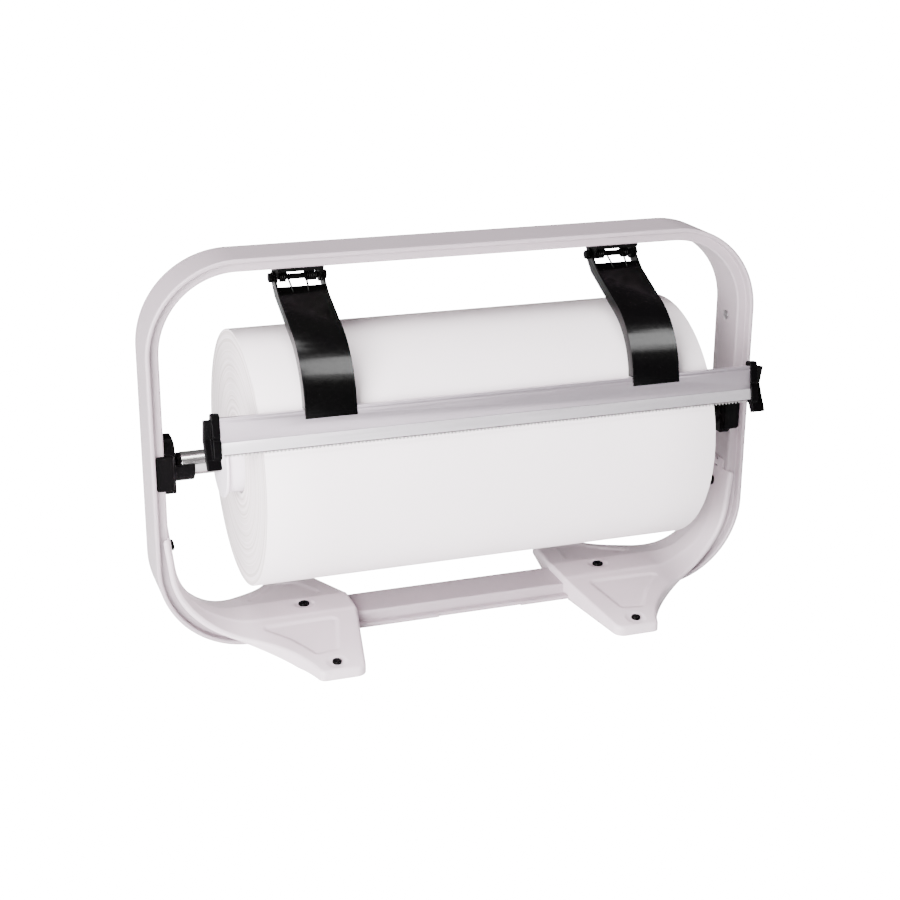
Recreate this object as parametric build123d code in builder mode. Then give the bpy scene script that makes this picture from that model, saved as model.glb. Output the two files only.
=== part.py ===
from build123d import *

import math
import os

# A counter stand for a wide roll of gift wrap: a closed hoop on two stamped feet carries the
# roll's tube at its middle, and a sprung cutter hangs from the hoop and lies on the roll.
# X runs along the roll, -Y faces the clerk, +Z is up; the origin is on the counter, mid-length.

# ---- roll and the room that the stand leaves round it
roll_length = 500.0
roll_radius = 138.6
core_radius = 44.0
core_bore = 38.25
room_below = 52.3
room_above = 69.1
room_beside = 77.4

# ---- hoop frame
frame_bottom = 7.2
frame_corner = 100.0
frame_depth = 64.0
lip_thickness = 5.0
lip_round = 2.3
step_round = 2.5
bar_thickness = 15.9
bar_front = -21.7
bar_back = 29.8
frame_wall = 1.8
seam_notch = (-31.0, 69.0)
seam_notch_depth = 2.0

# ---- shaft, hubs and the brackets that hold the shaft
shaft_radius = 13.0
shaft_wall = 1.5
shaft_end_gap = 19.9
hub_fit = 0.1
hub_reach = 20.0
hub_flange_radius = 41.0
hub_flange_thickness = 3.0
hub_neck_radius = 36.0
hub_barrel_start = 6.0
hub_barrel_length = 40.0
hub_wall = 3.0
plug_flange_radius = 12.5
plug_flange_thickness = 4.8
plug_neck_radius = 8.0
plug_neck_length = 2.9
plug_barrel_length = 16.0
saddle_gap = 0.25
saddle_wall = 4.6
saddle_rise = 4.0
saddle_length = 21.3
bracket_thickness = 11.8
bracket_drop = 26.0
bracket_rise = 35.0
bracket_dome = 73.0
bracket_dome_start = 5.0
bracket_tip_round = 3.0
bracket_fin_radius = 15.0
bracket_corner = 6.0
bracket_edge = 3.0
bracket_back = 22.0
hook_thickness = 3.3
hook_reach = 9.8
hook_drop = 20.8
hook_rise = 18.0
hook_corner = 2.5

# ---- feet: distances along X are from the middle of the hoop's corner, outwards
foot_sheet = 2.0
foot_inner = -122.4
spine_rise = 7.9
spine_half = 21.0
toe_reach = 131.0
toe_slope = 9.63
toe_inner_front = -100.9
toe_outer_front = -48.4
toe_inner_round = 12.0
toe_outer_round = 5.0
toe_waist = (-17.4, 75.0)
tail_flare_end = 111.0
tail_front = 25.2
tail_back = 33.2
foot_clearance = 1.0
skirt_rise = 6.0
skirt_half = 34.0
gusset_start = -41.4
tail_flange_depth = 10.3
tail_tip = (82.0, 44.8)
tail_shoulder = 32.8
tail_tongue_half = 13.0
tail_round = 4.0
tail_slots = (33.8, 41.8)
tail_slot_size = (6.0, 1.6)
recess_depth = 1.3
recess_round = 8.0
recess_root = ((-98.4, 32.0), (-11.4, 35.0))
recess_tip = ((-57.4, 32.0), (-81.4, 36.0))
bar_clearance = 0.15
pad_radius = 12.0
pad_grip = 8.0
toe_screw_inset = (-72.7, 15.5)
spine_screw_at = (-67.4, 4.0)
tail_screw_rise = 13.8
dimple_depth = 1.4
dimple_radius = 12.0
dimple_floor = 7.5
dimple_rim = 0.2
rivet_drop = 13.6

# ---- screws
screw_head_radius = 5.2
screw_head_height = 3.2
screw_shank_radius = 2.5
big_head_radius = 6.2
big_head_height = 4.0
rail_head_radius = 2.8
rail_head_height = 1.9
rail_shank_radius = 1.5
rivet_head_radius = 5.2
rivet_head_height = 1.4
rivet_shank_radius = 1.2

# ---- hinges and springs
hinge_inset = 70.7
pin_drop = 13.4
pin_radius = 3.0
pin_fit = 0.1
pin_head_width = 9.0
pin_head_length = 4.0
bracket_sheet = 2.0
hinge_half_width = 24.5
hinge_half_depth = 18.0
ear_radius = 7.0
wire_radius = 0.85
coil_radius = 4.5
coil_pitch = 2.3
seat_gap = 0.05
leg_lap = 10.0
leg_back = 12.0
hinge_screw_proud = 0.2
outer_coil_start = 12.2
inner_coil_start = 8.3
outer_turns = 3
inner_turns = 5
gap_steps = 72

# ---- cutter arms
arm_sheet = 2.0
arm_half_width = 27.0
arm_flange = 12.0
arm_top = (-14.0, -7.3)
arm_elbow_rise = 50.7
arm_bend = 86.0
arm_ear_run = 14.0
arm_lap = 9.1
rail_screw_spread = 14.0
rail_screw_drop = 5.2

# ---- cutter rail, blade and end caps
rail_tilt = 10.0
blade_height = 48.1
blade_gap = 0.5
rail_overhang = 42.5
rail_height = 36.6
rail_wall = 1.8
rail_depth = 8.0
rail_lip = 7.6
band_height = 11.7
band_flare = 0.6
band_step = 0.3
band_groove = 0.6
ridge_height = 1.8
ridge_rise = 0.8
ridge_groove = 1.8
arm_notch_gap = 0.5
blade_thickness = 0.6
blade_drop = 3.55
blade_rise = 9.0
tooth_pitch = 4.0
tooth_depth = 2.4
blade_margin = 2.5
collar_length = 8.5
collar_front = 2.2
collar_back = 9.6
collar_rise = 4.8
collar_drop = 4.4
collar_round = 3.0
collar_waist = 16.0
collar_waist_depth = 1.0
collar_swell = 0.8
fin_start = 7.5
fin_length = 8.0
fin_outline = ((-2.6, 35.7), (6.0, 16.0), (-3.9, -13.9), (3.1, -15.3), (17.6, 13.6), (8.7, 35.4))
fin_round = 1.0
skirt_start = 1.0
skirt_outline = ((-3.9, -13.9), (3.1, -15.3), (8.0, -4.0), (-1.2, -4.0))

# ---- worked out from the sizes above
roll_half = roll_length / 2
hub_face = roll_half + hub_reach
frame_half_width = hub_face + room_beside
web_x = frame_half_width - bar_thickness
web_bottom = frame_bottom + bar_thickness
axis_height = web_bottom + room_below + roll_radius
web_top = axis_height + roll_radius + room_above
frame_top = web_top + bar_thickness
frame_height = frame_top - frame_bottom
frame_middle = frame_bottom + frame_height / 2
corner_x = frame_half_width - frame_corner
corner_z = frame_bottom + frame_corner
foot_top = web_bottom + spine_rise
toe_screw_at = (toe_screw_inset[0], toe_reach - toe_screw_inset[1])
toe_screw_x = corner_x + toe_screw_at[0]
spine_screw_x = corner_x + spine_screw_at[0]
spine_screw_y = spine_screw_at[1]
rivet_z = frame_top - frame_corner - rivet_drop
tail_skin_radius = corner_z - foot_top
tail_flange_radius = tail_skin_radius + tail_flange_depth
shaft_half = web_x - shaft_end_gap
rail_half_length = roll_half + rail_overhang
hinge_x = roll_half - hinge_inset
pin_z = web_top - pin_drop
roll_axis = Axis((0, 0, axis_height), (1, 0, 0))
corner_axis = Axis((0, 0, corner_z), (0, -1, 0))
ON_FLOOR = (Align.CENTER, Align.CENTER, Align.MIN)
HANGING = (Align.CENTER, Align.CENTER, Align.MAX)
NEAR = 0.1


def front_plane(y):
    """Upright plane at depth y, seen from the front: extrusions from it come forward."""
    return Plane.XZ.offset(-y)


def side_plane(x):
    """Upright plane across the roll at x: extrusions from it go to +X."""
    return Plane.YZ.offset(x)


def turned(outline):
    """Ring about the roll's axis from (x, radius) corners."""
    with BuildPart() as ring:
        with BuildSketch(Plane.XZ):
            Polygon(*[(x, axis_height + r) for x, r in outline], align=None)
        revolve(axis=roll_axis)
    return ring.part


def screw(head_radius, head_height, shank_radius, shank_length):
    """Pan-head screw standing on the origin, with a crossed slot in its head."""
    with BuildPart() as item:
        with BuildSketch():
            Circle(head_radius)
        extrude(amount=head_height)
        fillet(item.edges().sort_by(Axis.Z)[-1], head_height * 0.6)
        with BuildSketch(Plane.XY.offset(head_height)):
            Rectangle(head_radius * 1.1, head_radius * 0.24)
            Rectangle(head_radius * 0.24, head_radius * 1.1)
        extrude(amount=-head_height * 0.5, mode=Mode.SUBTRACT)
        with BuildSketch():
            Circle(shank_radius)
        extrude(amount=-shank_length)
    return item.part


def hoop_ring(outer, inner):
    """Rounded ring between two insets from the hoop's outline, on the current sketch."""
    with Locations((0, frame_middle)):
        for inset, way in ((outer, Mode.ADD), (inner, Mode.SUBTRACT)):
            RectangleRounded(
                2 * (frame_half_width - inset),
                frame_height - 2 * inset,
                frame_corner - inset,
                mode=way,
            )


def hoop_envelope(gap):
    """Solid form of the hoop, grown by gap, for notching what straddles it."""
    with BuildPart() as form:
        with BuildSketch(front_plane(frame_depth / 2 + gap)):
            hoop_ring(-gap, lip_thickness + gap)
        extrude(amount=frame_depth + 2 * gap)
        with BuildSketch(front_plane(bar_back + gap)):
            hoop_ring(lip_thickness / 2, bar_thickness + gap)
        extrude(amount=bar_back - bar_front + 2 * gap)
    return form.part


# ---------------------------------------------------------------- hoop frame
with BuildPart() as frame_hoop:
    with BuildSketch(front_plane(frame_depth / 2)):
        hoop_ring(0, lip_thickness)
    extrude(amount=frame_depth)
    with BuildSketch(front_plane(bar_back)):
        hoop_ring(lip_thickness / 2, bar_thickness)
    extrude(amount=bar_back - bar_front)
    for front, rounding in ((-frame_depth / 2, lip_round), (bar_front, step_round)):
        front_edges = frame_hoop.edges().filter_by_position(Axis.Y, front - NEAR, front + NEAR)
        fillet(front_edges, rounding)
    with BuildSketch(front_plane(bar_back - frame_wall)):
        hoop_ring(lip_thickness - frame_wall, bar_thickness - frame_wall)
    extrude(amount=bar_back - bar_front - 2 * frame_wall, mode=Mode.SUBTRACT)
    with BuildSketch(front_plane(-frame_depth / 2 + seam_notch_depth)):
        with Locations(((seam_notch[0] + seam_notch[1]) / 2, frame_bottom)):
            Rectangle(seam_notch[1] - seam_notch[0], 2 * lip_thickness)
    extrude(amount=seam_notch_depth, mode=Mode.SUBTRACT)
    # holes for the screws and rivets that stand on the inner web
    with Locations(*[Location((side * spine_screw_x, spine_screw_y, web_bottom)) for side in (-1, 1)]):
        Cylinder(screw_shank_radius, 4 * frame_wall, mode=Mode.SUBTRACT)
    with Locations(*[Location((side * hinge_x, 0, web_top)) for side in (-1, 1)]):
        Cylinder(screw_shank_radius, 4 * frame_wall, mode=Mode.SUBTRACT)
    with Locations(*[Location((side * web_x, spine_screw_y, rivet_z), (0, 90, 0)) for side in (-1, 1)]):
        Cylinder(rivet_shank_radius, 4 * frame_wall, mode=Mode.SUBTRACT)
frame_hoop.part.label = "frame_hoop"


# ---------------------------------------------------------------- feet
# Each foot is built about the hoop's corner, with x = 0 at the corner's middle, and then moved out.
def toe_plane(side):
    """Plane of a toe's top, with local x along X and local y up the slope; side is -1 in front."""
    lean = math.radians(toe_slope)
    return Plane(
        origin=(0, side * spine_half, foot_top),
        x_dir=(1, 0, 0),
        z_dir=(0, side * math.sin(lean), math.cos(lean)),
    )


def on_toe(x, y):
    """Local coordinates on a toe's top of the point above (x, y)."""
    side = math.copysign(1, y)
    return (x, (y - side * spine_half) / math.cos(math.radians(toe_slope)))


def toe_height(y):
    """Height of the toe's top at a distance y in front of the middle."""
    return foot_top - (abs(y) - spine_half) * math.tan(math.radians(toe_slope))


def tail_lean():
    """Angle of the corner's radius at which the tail leaves the round and runs straight to its tip."""
    return math.atan2(tail_tip[1], tail_tip[0]) - math.acos(tail_skin_radius / math.hypot(*tail_tip))


def foot_roof(inset, floor):
    """Cross-section of the foot at the hoop's corner: a flat spine between two sloping toes."""
    drop = inset / math.cos(math.radians(toe_slope))
    with BuildSketch(Plane.YZ) as section:
        with BuildLine():
            Polyline(
                (0, foot_top - inset),
                (-spine_half, foot_top - drop),
                (-toe_reach, toe_height(toe_reach) - drop),
                (-toe_reach, floor),
                (-skirt_half, floor + skirt_rise),
                (0, floor + skirt_rise),
            )
            mirror(about=Plane.YZ)
        make_face()
    return section.sketch


def foot_plan(inset):
    """The foot seen from above: two toes, whose outer edges flare into the sides of the tail."""
    with BuildSketch() as plan:
        with BuildLine():
            for side, depth in ((-1, tail_front), (1, tail_back)):
                Line((foot_inner, 0), (foot_inner, side * spine_half))
                Line((foot_inner, side * spine_half), (toe_inner_front, side * toe_reach))
                Line((toe_inner_front, side * toe_reach), (toe_outer_front, side * toe_reach))
                waist = (toe_waist[0], side * toe_waist[1])
                flare = TangentArc((tail_flare_end, side * depth), waist, tangent=(-1, 0))
                TangentArc(waist, (toe_outer_front, side * toe_reach), tangent=flare % 1)
                Line((tail_flare_end, side * depth), (tail_flare_end, 0))
        make_face()
        toe_corners = plan.vertices().filter_by(lambda v: abs(abs(v.Y) - toe_reach) < NEAR)
        fillet(toe_corners.group_by(Axis.X)[0], toe_inner_round)
        fillet(plan.vertices().filter_by(lambda v: v.X == toe_outer_front), toe_outer_round)
        if inset:
            offset(amount=-inset)
    return plan.sketch


def foot_side():
    """The foot seen from the front: its walls rise from the toes' tips into the tail's flanges."""
    away = math.hypot(gusset_start, corner_z - foot_clearance)
    touch = math.atan2(foot_clearance - corner_z, gusset_start) + math.acos(tail_flange_radius / away)
    with BuildSketch(Plane.XZ) as outline:
        with BuildLine():
            arc = CenterArc((0, corner_z), tail_flange_radius, math.degrees(touch), -math.degrees(touch))
            Polyline(
                arc @ 0,
                (gusset_start, foot_clearance),
                (foot_inner, foot_clearance),
                (foot_inner, corner_z + tail_tip[1]),
                (tail_flange_radius, corner_z + tail_tip[1]),
                arc @ 1,
            )
        make_face()
    return outline.sketch


def foot_end():
    """The foot seen along the roll: the tail's shoulders, with a narrow tongue above them."""
    with BuildSketch(Plane.YZ) as outline:
        Rectangle(2 * toe_reach, corner_z, align=(Align.CENTER, Align.MIN))
        with Locations(((tail_back - tail_front) / 2, corner_z + tail_shoulder)):
            RectangleRounded(
                tail_front + tail_back + 2 * foot_sheet,
                2 * tail_shoulder,
                tail_round,
                align=(Align.CENTER, Align.MAX),
            )
        with Locations((0, corner_z + tail_tip[1])):
            RectangleRounded(2 * tail_tongue_half, tail_tip[1], tail_round, align=(Align.CENTER, Align.MAX))
    return outline.sketch


def foot_block(inset):
    """Solid form of the foot, drawn in by inset: flat at the middle, then swept up the hoop's corner."""
    turn = 90 + math.degrees(tail_lean())
    straight = math.sqrt(tail_tip[0] ** 2 + tail_tip[1] ** 2 - tail_skin_radius**2)
    deep_roof = foot_roof(inset, -tail_flange_depth)
    with BuildPart() as block:
        extrude(foot_roof(inset, foot_clearance if inset == 0 else -foot_top), amount=foot_inner)
        revolve(deep_roof, axis=corner_axis, revolution_arc=turn)
        extrude(deep_roof.rotate(corner_axis, turn), amount=straight + foot_sheet)
        extrude(foot_plan(inset), amount=corner_z + frame_corner, mode=Mode.INTERSECT)
    return block.part


def recess(side, extra):
    """Rounded triangle pressed into a toe's top, widened and lowered by extra."""
    with BuildPart() as form:
        with BuildSketch(toe_plane(side).offset(-recess_depth - extra)) as plan:
            corners = [*recess_root, *[(x, toe_reach - y) for x, y in recess_tip]]
            Polygon(*[on_toe(x, side * y) for x, y in corners], align=None)
            fillet(plan.vertices(), recess_round)
            if extra:
                offset(amount=extra)
        extrude(amount=2 * recess_depth + extra)
    return form.part


def dimple(plane, x, y, extra):
    """Round dish pressed into a surface about a screw, widened and lowered by extra."""
    with BuildPart() as form:
        with BuildSketch(plane.offset(-dimple_depth - extra)):
            with Locations((x, y)):
                Circle(dimple_floor + extra)
        with BuildSketch(plane.offset(dimple_rim)):
            with Locations((x, y)):
                Circle(dimple_radius + extra)
        loft()
    return form.part


def pressings(extra):
    """Everything pressed down into the foot's top: two recesses and a dish for each screw."""
    forms = dimple(spine_plane, *spine_screw_at, extra)
    for side in (-1, 1):
        forms += recess(side, extra)
        forms += dimple(toe_plane(side), *on_toe(toe_screw_at[0], side * toe_screw_at[1]), extra)
    return forms


def screw_hole(plane, x, y):
    """Round hole through the sheet for a screw's shank."""
    with BuildPart() as form:
        with BuildSketch(plane.offset(-3 * foot_sheet)):
            with Locations((x, y)):
                Circle(screw_shank_radius)
        extrude(amount=4 * foot_sheet)
    return form.part


def tail_plane():
    """Plane of the tail's straight skin at its screw, with local x towards the clerk."""
    lean = tail_lean()
    below_tip = tail_tip[1] - tail_screw_rise
    return Plane(
        origin=(tail_tip[0] + below_tip * math.tan(lean), 0, corner_z + tail_screw_rise),
        x_dir=(0, -1, 0),
        z_dir=(-math.cos(lean), 0, -math.sin(lean)),
    )


spine_plane = Plane.XY.offset(foot_top)

with BuildPart() as right_foot:
    add(foot_block(0))
    extrude(foot_side(), amount=toe_reach, both=True, mode=Mode.INTERSECT)
    extrude(foot_end(), amount=2 * frame_corner, both=True, mode=Mode.INTERSECT)
    add(pressings(0), mode=Mode.SUBTRACT)
    add(foot_block(foot_sheet) - pressings(foot_sheet), mode=Mode.SUBTRACT)
    for side in (-1, 1):
        add(screw_hole(toe_plane(side), *on_toe(toe_screw_at[0], side * toe_screw_at[1])), mode=Mode.SUBTRACT)
    add(screw_hole(spine_plane, *spine_screw_at), mode=Mode.SUBTRACT)
    add(screw_hole(tail_plane(), -spine_screw_at[1], 0), mode=Mode.SUBTRACT)
    for rise in tail_slots:
        with Locations((tail_tip[0], 0, corner_z + rise)):
            Box(2 * bar_thickness, *tail_slot_size, mode=Mode.SUBTRACT)
    add(Pos(-corner_x, 0, 0) * hoop_envelope(bar_clearance), mode=Mode.SUBTRACT)
    add(Pos(-corner_x, 0, 0) * frame_hoop.part, mode=Mode.SUBTRACT)
right_foot.part = Pos(corner_x, 0, 0) * right_foot.part
right_foot.part.label = "right_foot"

with BuildPart() as left_foot:
    mirror(right_foot.part, about=Plane.YZ)
left_foot.part.label = "left_foot"


# ---------------------------------------------------------------- rubber pads and foot screws
def toe_seats():
    """Where each toe screw's head sits: the floor of its dish, facing out of the toe."""
    for side in (-1, 1):
        floor = toe_plane(side).offset(-dimple_depth).location
        for x in (-toe_screw_x, toe_screw_x):
            yield floor * Location((*on_toe(x, side * toe_screw_at[1]), 0))


toe_shank = foot_sheet + pad_grip
pad_blank = Cylinder(pad_radius, foot_top, align=ON_FLOOR)
pad_sky = Pos(0, 0, -foot_sheet) * Box(4 * pad_radius, 4 * pad_radius, foot_top, align=ON_FLOOR)
pad_drill = Cylinder(screw_shank_radius, toe_shank, align=HANGING)
with BuildPart() as foot_pads:
    for seat in toe_seats():
        add(Pos(seat.position.X, seat.position.Y, 0) * pad_blank - seat * pad_sky - seat * pad_drill)
foot_pads.part.label = "foot_pads"

with BuildPart() as toe_screws:
    for seat in toe_seats():
        add(seat * screw(screw_head_radius, screw_head_height, screw_shank_radius, toe_shank))
toe_screws.part.label = "toe_screws"

with BuildPart() as spine_screws:
    spine_shank = foot_top - dimple_depth - web_bottom + 2 * frame_wall
    spine_screw = screw(big_head_radius, big_head_height, screw_shank_radius, spine_shank)
    for x in (spine_screw_x, -spine_screw_x):
        add(Location((x, spine_screw_y, foot_top - dimple_depth)) * spine_screw)
spine_screws.part.label = "spine_screws"

with BuildPart() as tail_screws:
    tail_seat = Pos(corner_x, 0, 0) * tail_plane().location * Location((-spine_screw_y, 0, 0))
    add(tail_seat * screw(big_head_radius, big_head_height, screw_shank_radius, 2 * foot_sheet))
    mirror(about=Plane.YZ)
tail_screws.part.label = "tail_screws"

with BuildPart() as upright_rivets:
    rivet = screw(rivet_head_radius, rivet_head_height, rivet_shank_radius, 2 * frame_wall)
    add(Location((web_x, spine_screw_y, rivet_z), (0, -90, 0)) * rivet)
    mirror(about=Plane.YZ)
upright_rivets.part.label = "upright_rivets"


# ---------------------------------------------------------------- shaft brackets
with BuildPart() as right_shaft_bracket:
    saddle_bore = shaft_radius + saddle_gap
    saddle_radius = saddle_bore + saddle_wall
    bracket_bottom = axis_height - bracket_drop
    bracket_top = axis_height + bracket_rise
    dome_bottom = axis_height + bracket_dome_start
    # paddle against the web: its plan, then its front view with a domed top, then its side view
    middle = (bar_front + bracket_back) / 2
    face = web_x - bracket_thickness
    with BuildSketch(Plane.XY.offset(axis_height)):
        with Locations((web_x, middle)):
            RectangleRounded(2 * bracket_thickness, bracket_back - bar_front, bracket_edge)
    extrude(amount=2 * bracket_rise, both=True)
    with BuildSketch(Plane.XZ) as profile:
        with BuildLine():
            dome = CenterArc(
                (face + bracket_dome, dome_bottom),
                bracket_dome,
                180,
                -math.degrees(math.asin((bracket_top - dome_bottom) / bracket_dome)),
            )
            Polyline(
                dome @ 1,
                (web_x, bracket_top),
                (web_x, bracket_bottom),
                (face, bracket_bottom),
                dome @ 0,
            )
        make_face()
        inner_corners = profile.vertices().filter_by(lambda v: v.X < web_x - bracket_edge)
        fillet(inner_corners.sort_by(Axis.Y)[-1], bracket_tip_round)
        fillet(inner_corners.sort_by(Axis.Y)[0], bracket_edge)
    extrude(amount=frame_depth, both=True, mode=Mode.INTERSECT)
    with BuildSketch(side_plane(face - bracket_edge)):
        with Locations((middle, bracket_bottom)):
            RectangleRounded(
                bracket_back - bar_front + bracket_edge,
                bracket_drop + hook_rise,
                bracket_corner,
                align=(Align.CENTER, Align.MIN),
            )
        with Locations((0, bracket_top - bracket_fin_radius)):
            Circle(bracket_fin_radius)
        make_hull()
    extrude(amount=2 * bracket_thickness, mode=Mode.INTERSECT)
    # hook round the front of the web
    with BuildSketch(front_plane(bar_front)):
        with Locations((web_x - bracket_thickness + bracket_edge, axis_height + hook_rise)):
            RectangleRounded(
                hook_reach + bracket_thickness - bracket_edge,
                hook_rise + hook_drop,
                hook_corner,
                align=(Align.MIN, Align.MAX),
            )
    extrude(amount=hook_thickness)
    # open trough that holds the shaft
    with BuildSketch(side_plane(web_x - bracket_thickness - saddle_length)):
        with Locations((0, axis_height)):
            Circle(saddle_radius)
        with Locations((0, axis_height + saddle_rise + saddle_radius)):
            Rectangle(2 * saddle_radius, 2 * saddle_radius, mode=Mode.SUBTRACT)
        with Locations((0, axis_height)):
            Circle(saddle_bore, mode=Mode.SUBTRACT)
        with Locations((0, axis_height + saddle_rise)):
            Rectangle(2 * saddle_bore, 2 * saddle_rise, mode=Mode.SUBTRACT)
    extrude(amount=saddle_length)
    add(frame_hoop.part, mode=Mode.SUBTRACT)
right_shaft_bracket.part.label = "right_shaft_bracket"

with BuildPart() as left_shaft_bracket:
    mirror(right_shaft_bracket.part, about=Plane.YZ)
left_shaft_bracket.part.label = "left_shaft_bracket"


# ---------------------------------------------------------------- roll, core, hubs and shaft
def mirrored(part):
    """The left-hand copy of a right-hand piece."""
    with BuildPart() as copy:
        mirror(part, about=Plane.YZ)
    return copy


def tube(half_length, outer, inner):
    """Tube about the roll's axis."""
    with BuildPart() as piece:
        with BuildSketch(side_plane(-half_length)):
            with Locations((0, axis_height)):
                Circle(outer)
                Circle(inner, mode=Mode.SUBTRACT)
        extrude(amount=2 * half_length)
    return piece


paper_roll = tube(roll_half, roll_radius, core_radius)
paper_roll.part.label = "paper_roll"

roll_core = tube(roll_half, core_radius, core_bore)
roll_core.part.label = "roll_core"

shaft_tube = tube(shaft_half, shaft_radius, shaft_radius - shaft_wall)
shaft_tube.part.label = "shaft_tube"

with BuildPart() as right_hub:
    hub_bore = shaft_radius + hub_fit
    barrel = core_bore - hub_fit
    inside = barrel - hub_wall
    flange_back = hub_face - hub_flange_thickness
    shoulder = roll_half - hub_barrel_start
    mouth = shoulder - hub_barrel_length
    add(
        turned(
            (
                (hub_face, hub_bore),
                (hub_face, hub_flange_radius),
                (flange_back, hub_flange_radius),
                (flange_back, hub_neck_radius),
                (shoulder, hub_neck_radius),
                (shoulder, barrel),
                (mouth, barrel),
                (mouth, inside),
                (shoulder - hub_wall, inside),
                (shoulder - hub_wall, hub_neck_radius - hub_wall),
                (flange_back, hub_neck_radius - hub_wall),
                (flange_back, hub_bore + hub_wall),
                (mouth, hub_bore + hub_wall),
                (mouth, hub_bore),
            )
        )
    )
right_hub.part.label = "right_hub"
left_hub = mirrored(right_hub.part)
left_hub.part.label = "left_hub"

with BuildPart() as right_end_plug:
    flange_face = shaft_half + plug_flange_thickness
    plug_barrel = shaft_radius - shaft_wall - hub_fit
    add(
        turned(
            (
                (shaft_half - plug_barrel_length, 0),
                (shaft_half - plug_barrel_length, plug_barrel),
                (shaft_half, plug_barrel),
                (shaft_half, plug_flange_radius),
                (flange_face, plug_flange_radius),
                (flange_face, plug_neck_radius),
                (flange_face + plug_neck_length, plug_neck_radius),
                (flange_face + plug_neck_length, 0),
            )
        )
    )
right_end_plug.part.label = "right_end_plug"
left_end_plug = mirrored(right_end_plug.part)
left_end_plug.part.label = "left_end_plug"


# ---------------------------------------------------------------- hinge brackets, pins and nuts
def hinge_bracket(side):
    """Folded bracket under the hoop's top bar, with an ear at each end for the pin."""
    with BuildPart() as piece:
        with Locations((side * hinge_x, 0, web_top - bracket_sheet)):
            Box(
                2 * hinge_half_width,
                2 * hinge_half_depth,
                bracket_sheet,
                align=(Align.CENTER, Align.CENTER, Align.MIN),
            )
        for end in (-hinge_half_width, hinge_half_width - bracket_sheet):
            with BuildSketch(side_plane(side * hinge_x + end)):
                with Locations((0, pin_z)):
                    Circle(ear_radius)
                with Locations((0, web_top - bracket_sheet / 2)):
                    Rectangle(2 * hinge_half_depth, bracket_sheet)
                make_hull()
                with Locations((0, pin_z)):
                    Circle(pin_radius + pin_fit, mode=Mode.SUBTRACT)
            extrude(amount=bracket_sheet)
        with Locations((side * hinge_x, 0, web_top)):
            Cylinder(screw_shank_radius, 4 * bracket_sheet, mode=Mode.SUBTRACT)
    return piece


right_hinge_bracket = hinge_bracket(1)
right_hinge_bracket.part.label = "right_hinge_bracket"
left_hinge_bracket = hinge_bracket(-1)
left_hinge_bracket.part.label = "left_hinge_bracket"

with BuildPart() as hinge_screws:
    hinge_shank = bracket_sheet + frame_wall + hinge_screw_proud
    hinge_screw = screw(big_head_radius, big_head_height, screw_shank_radius, hinge_shank)
    for side in (-1, 1):
        add(Location((side * hinge_x, 0, web_top - bracket_sheet), (180, 0, 0)) * hinge_screw)
hinge_screws.part.label = "hinge_bracket_screws"


def hinge_pin(side):
    """Bolt through a hinge, put in from the left, with a six-sided head."""
    start = side * hinge_x - arm_half_width
    with BuildPart() as piece:
        with BuildSketch(side_plane(start - seat_gap - pin_head_length)):
            with Locations((0, pin_z)):
                RegularPolygon(pin_head_width / 2, 6, major_radius=False)
        extrude(amount=pin_head_length)
        with BuildSketch(side_plane(start - seat_gap)):
            with Locations((0, pin_z)):
                Circle(pin_radius)
        extrude(amount=2 * (arm_half_width + seat_gap) + pin_head_length)
    return piece


left_hinge_pin = hinge_pin(-1)
left_hinge_pin.part.label = "left_hinge_pin"
right_hinge_pin = hinge_pin(1)
right_hinge_pin.part.label = "right_hinge_pin"

with BuildPart() as hinge_nuts:
    for side in (-1, 1):
        with BuildSketch(side_plane(side * hinge_x + arm_half_width + seat_gap)):
            with Locations((0, pin_z)):
                RegularPolygon(pin_head_width / 2, 6, major_radius=False)
                Circle(pin_radius, mode=Mode.SUBTRACT)
        extrude(amount=pin_head_length)
hinge_nuts.part.label = "hinge_nuts"

# ---------------------------------------------------------------- cutter arms
tilt = math.radians(rail_tilt)
rail_up = Vector(0, math.sin(tilt), math.cos(tilt))
rail_back = Vector(0, math.cos(tilt), -math.sin(tilt))
tip_reach = roll_radius + blade_gap
blade_tip = Vector(0, -math.sqrt(tip_reach**2 - blade_height**2), axis_height + blade_height)
rail_origin = blade_tip + rail_up * blade_drop - rail_back * (rail_wall + blade_thickness)


def rail_plane(x):
    """Plane across the rail at x: local x runs back through it, local y up its face."""
    return Plane(
        origin=rail_origin + Vector(x, 0, 0),
        x_dir=rail_back,
        z_dir=rail_back.cross(rail_up),
    )


def arm_route(depth):
    """Corner points (y, z) of the arm's side view, at a depth behind its outer face."""
    down = Vector(-rail_up.Y, -rail_up.Z)
    back = Vector(rail_back.Y, rail_back.Z)
    start = Vector(arm_top[0], pin_z + arm_top[1])
    foot = Vector(rail_origin.Y, rail_origin.Z) - down * (rail_height - arm_lap) - back * arm_sheet
    elbow = foot - down * (arm_lap + arm_elbow_rise)
    along = (elbow - start).normalized()
    start += Vector(-along.Y, along.X) * depth
    foot += back * depth
    gap = foot - start
    reach = (gap.X * down.Y - gap.Y * down.X) / (along.X * down.Y - along.Y * down.X)
    return start, start + along * reach, foot


def arm_radius():
    """Radius of the arm's bend at its outer face, no more than its two straight stretches allow."""
    start, elbow, foot = arm_route(0)
    turn = (elbow - start).get_angle(foot - elbow)
    longest = min((elbow - start).length, (foot - elbow).length) - arm_sheet
    return min(arm_bend, longest / math.tan(math.radians(turn / 2)))


def arm_band(depth):
    """Closed side view of the arm from its outer face to a depth behind it."""
    outer = arm_route(0)
    inner = arm_route(depth)
    FilletPolyline(*outer, radius=arm_radius())
    Line(outer[2], inner[2])
    FilletPolyline(*inner, radius=arm_radius() - depth)
    Line(inner[0], outer[0])


rail_shank = rail_wall + arm_sheet / 2
rail_drill = Cylinder(rail_shank_radius, rail_shank, align=HANGING)


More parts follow.
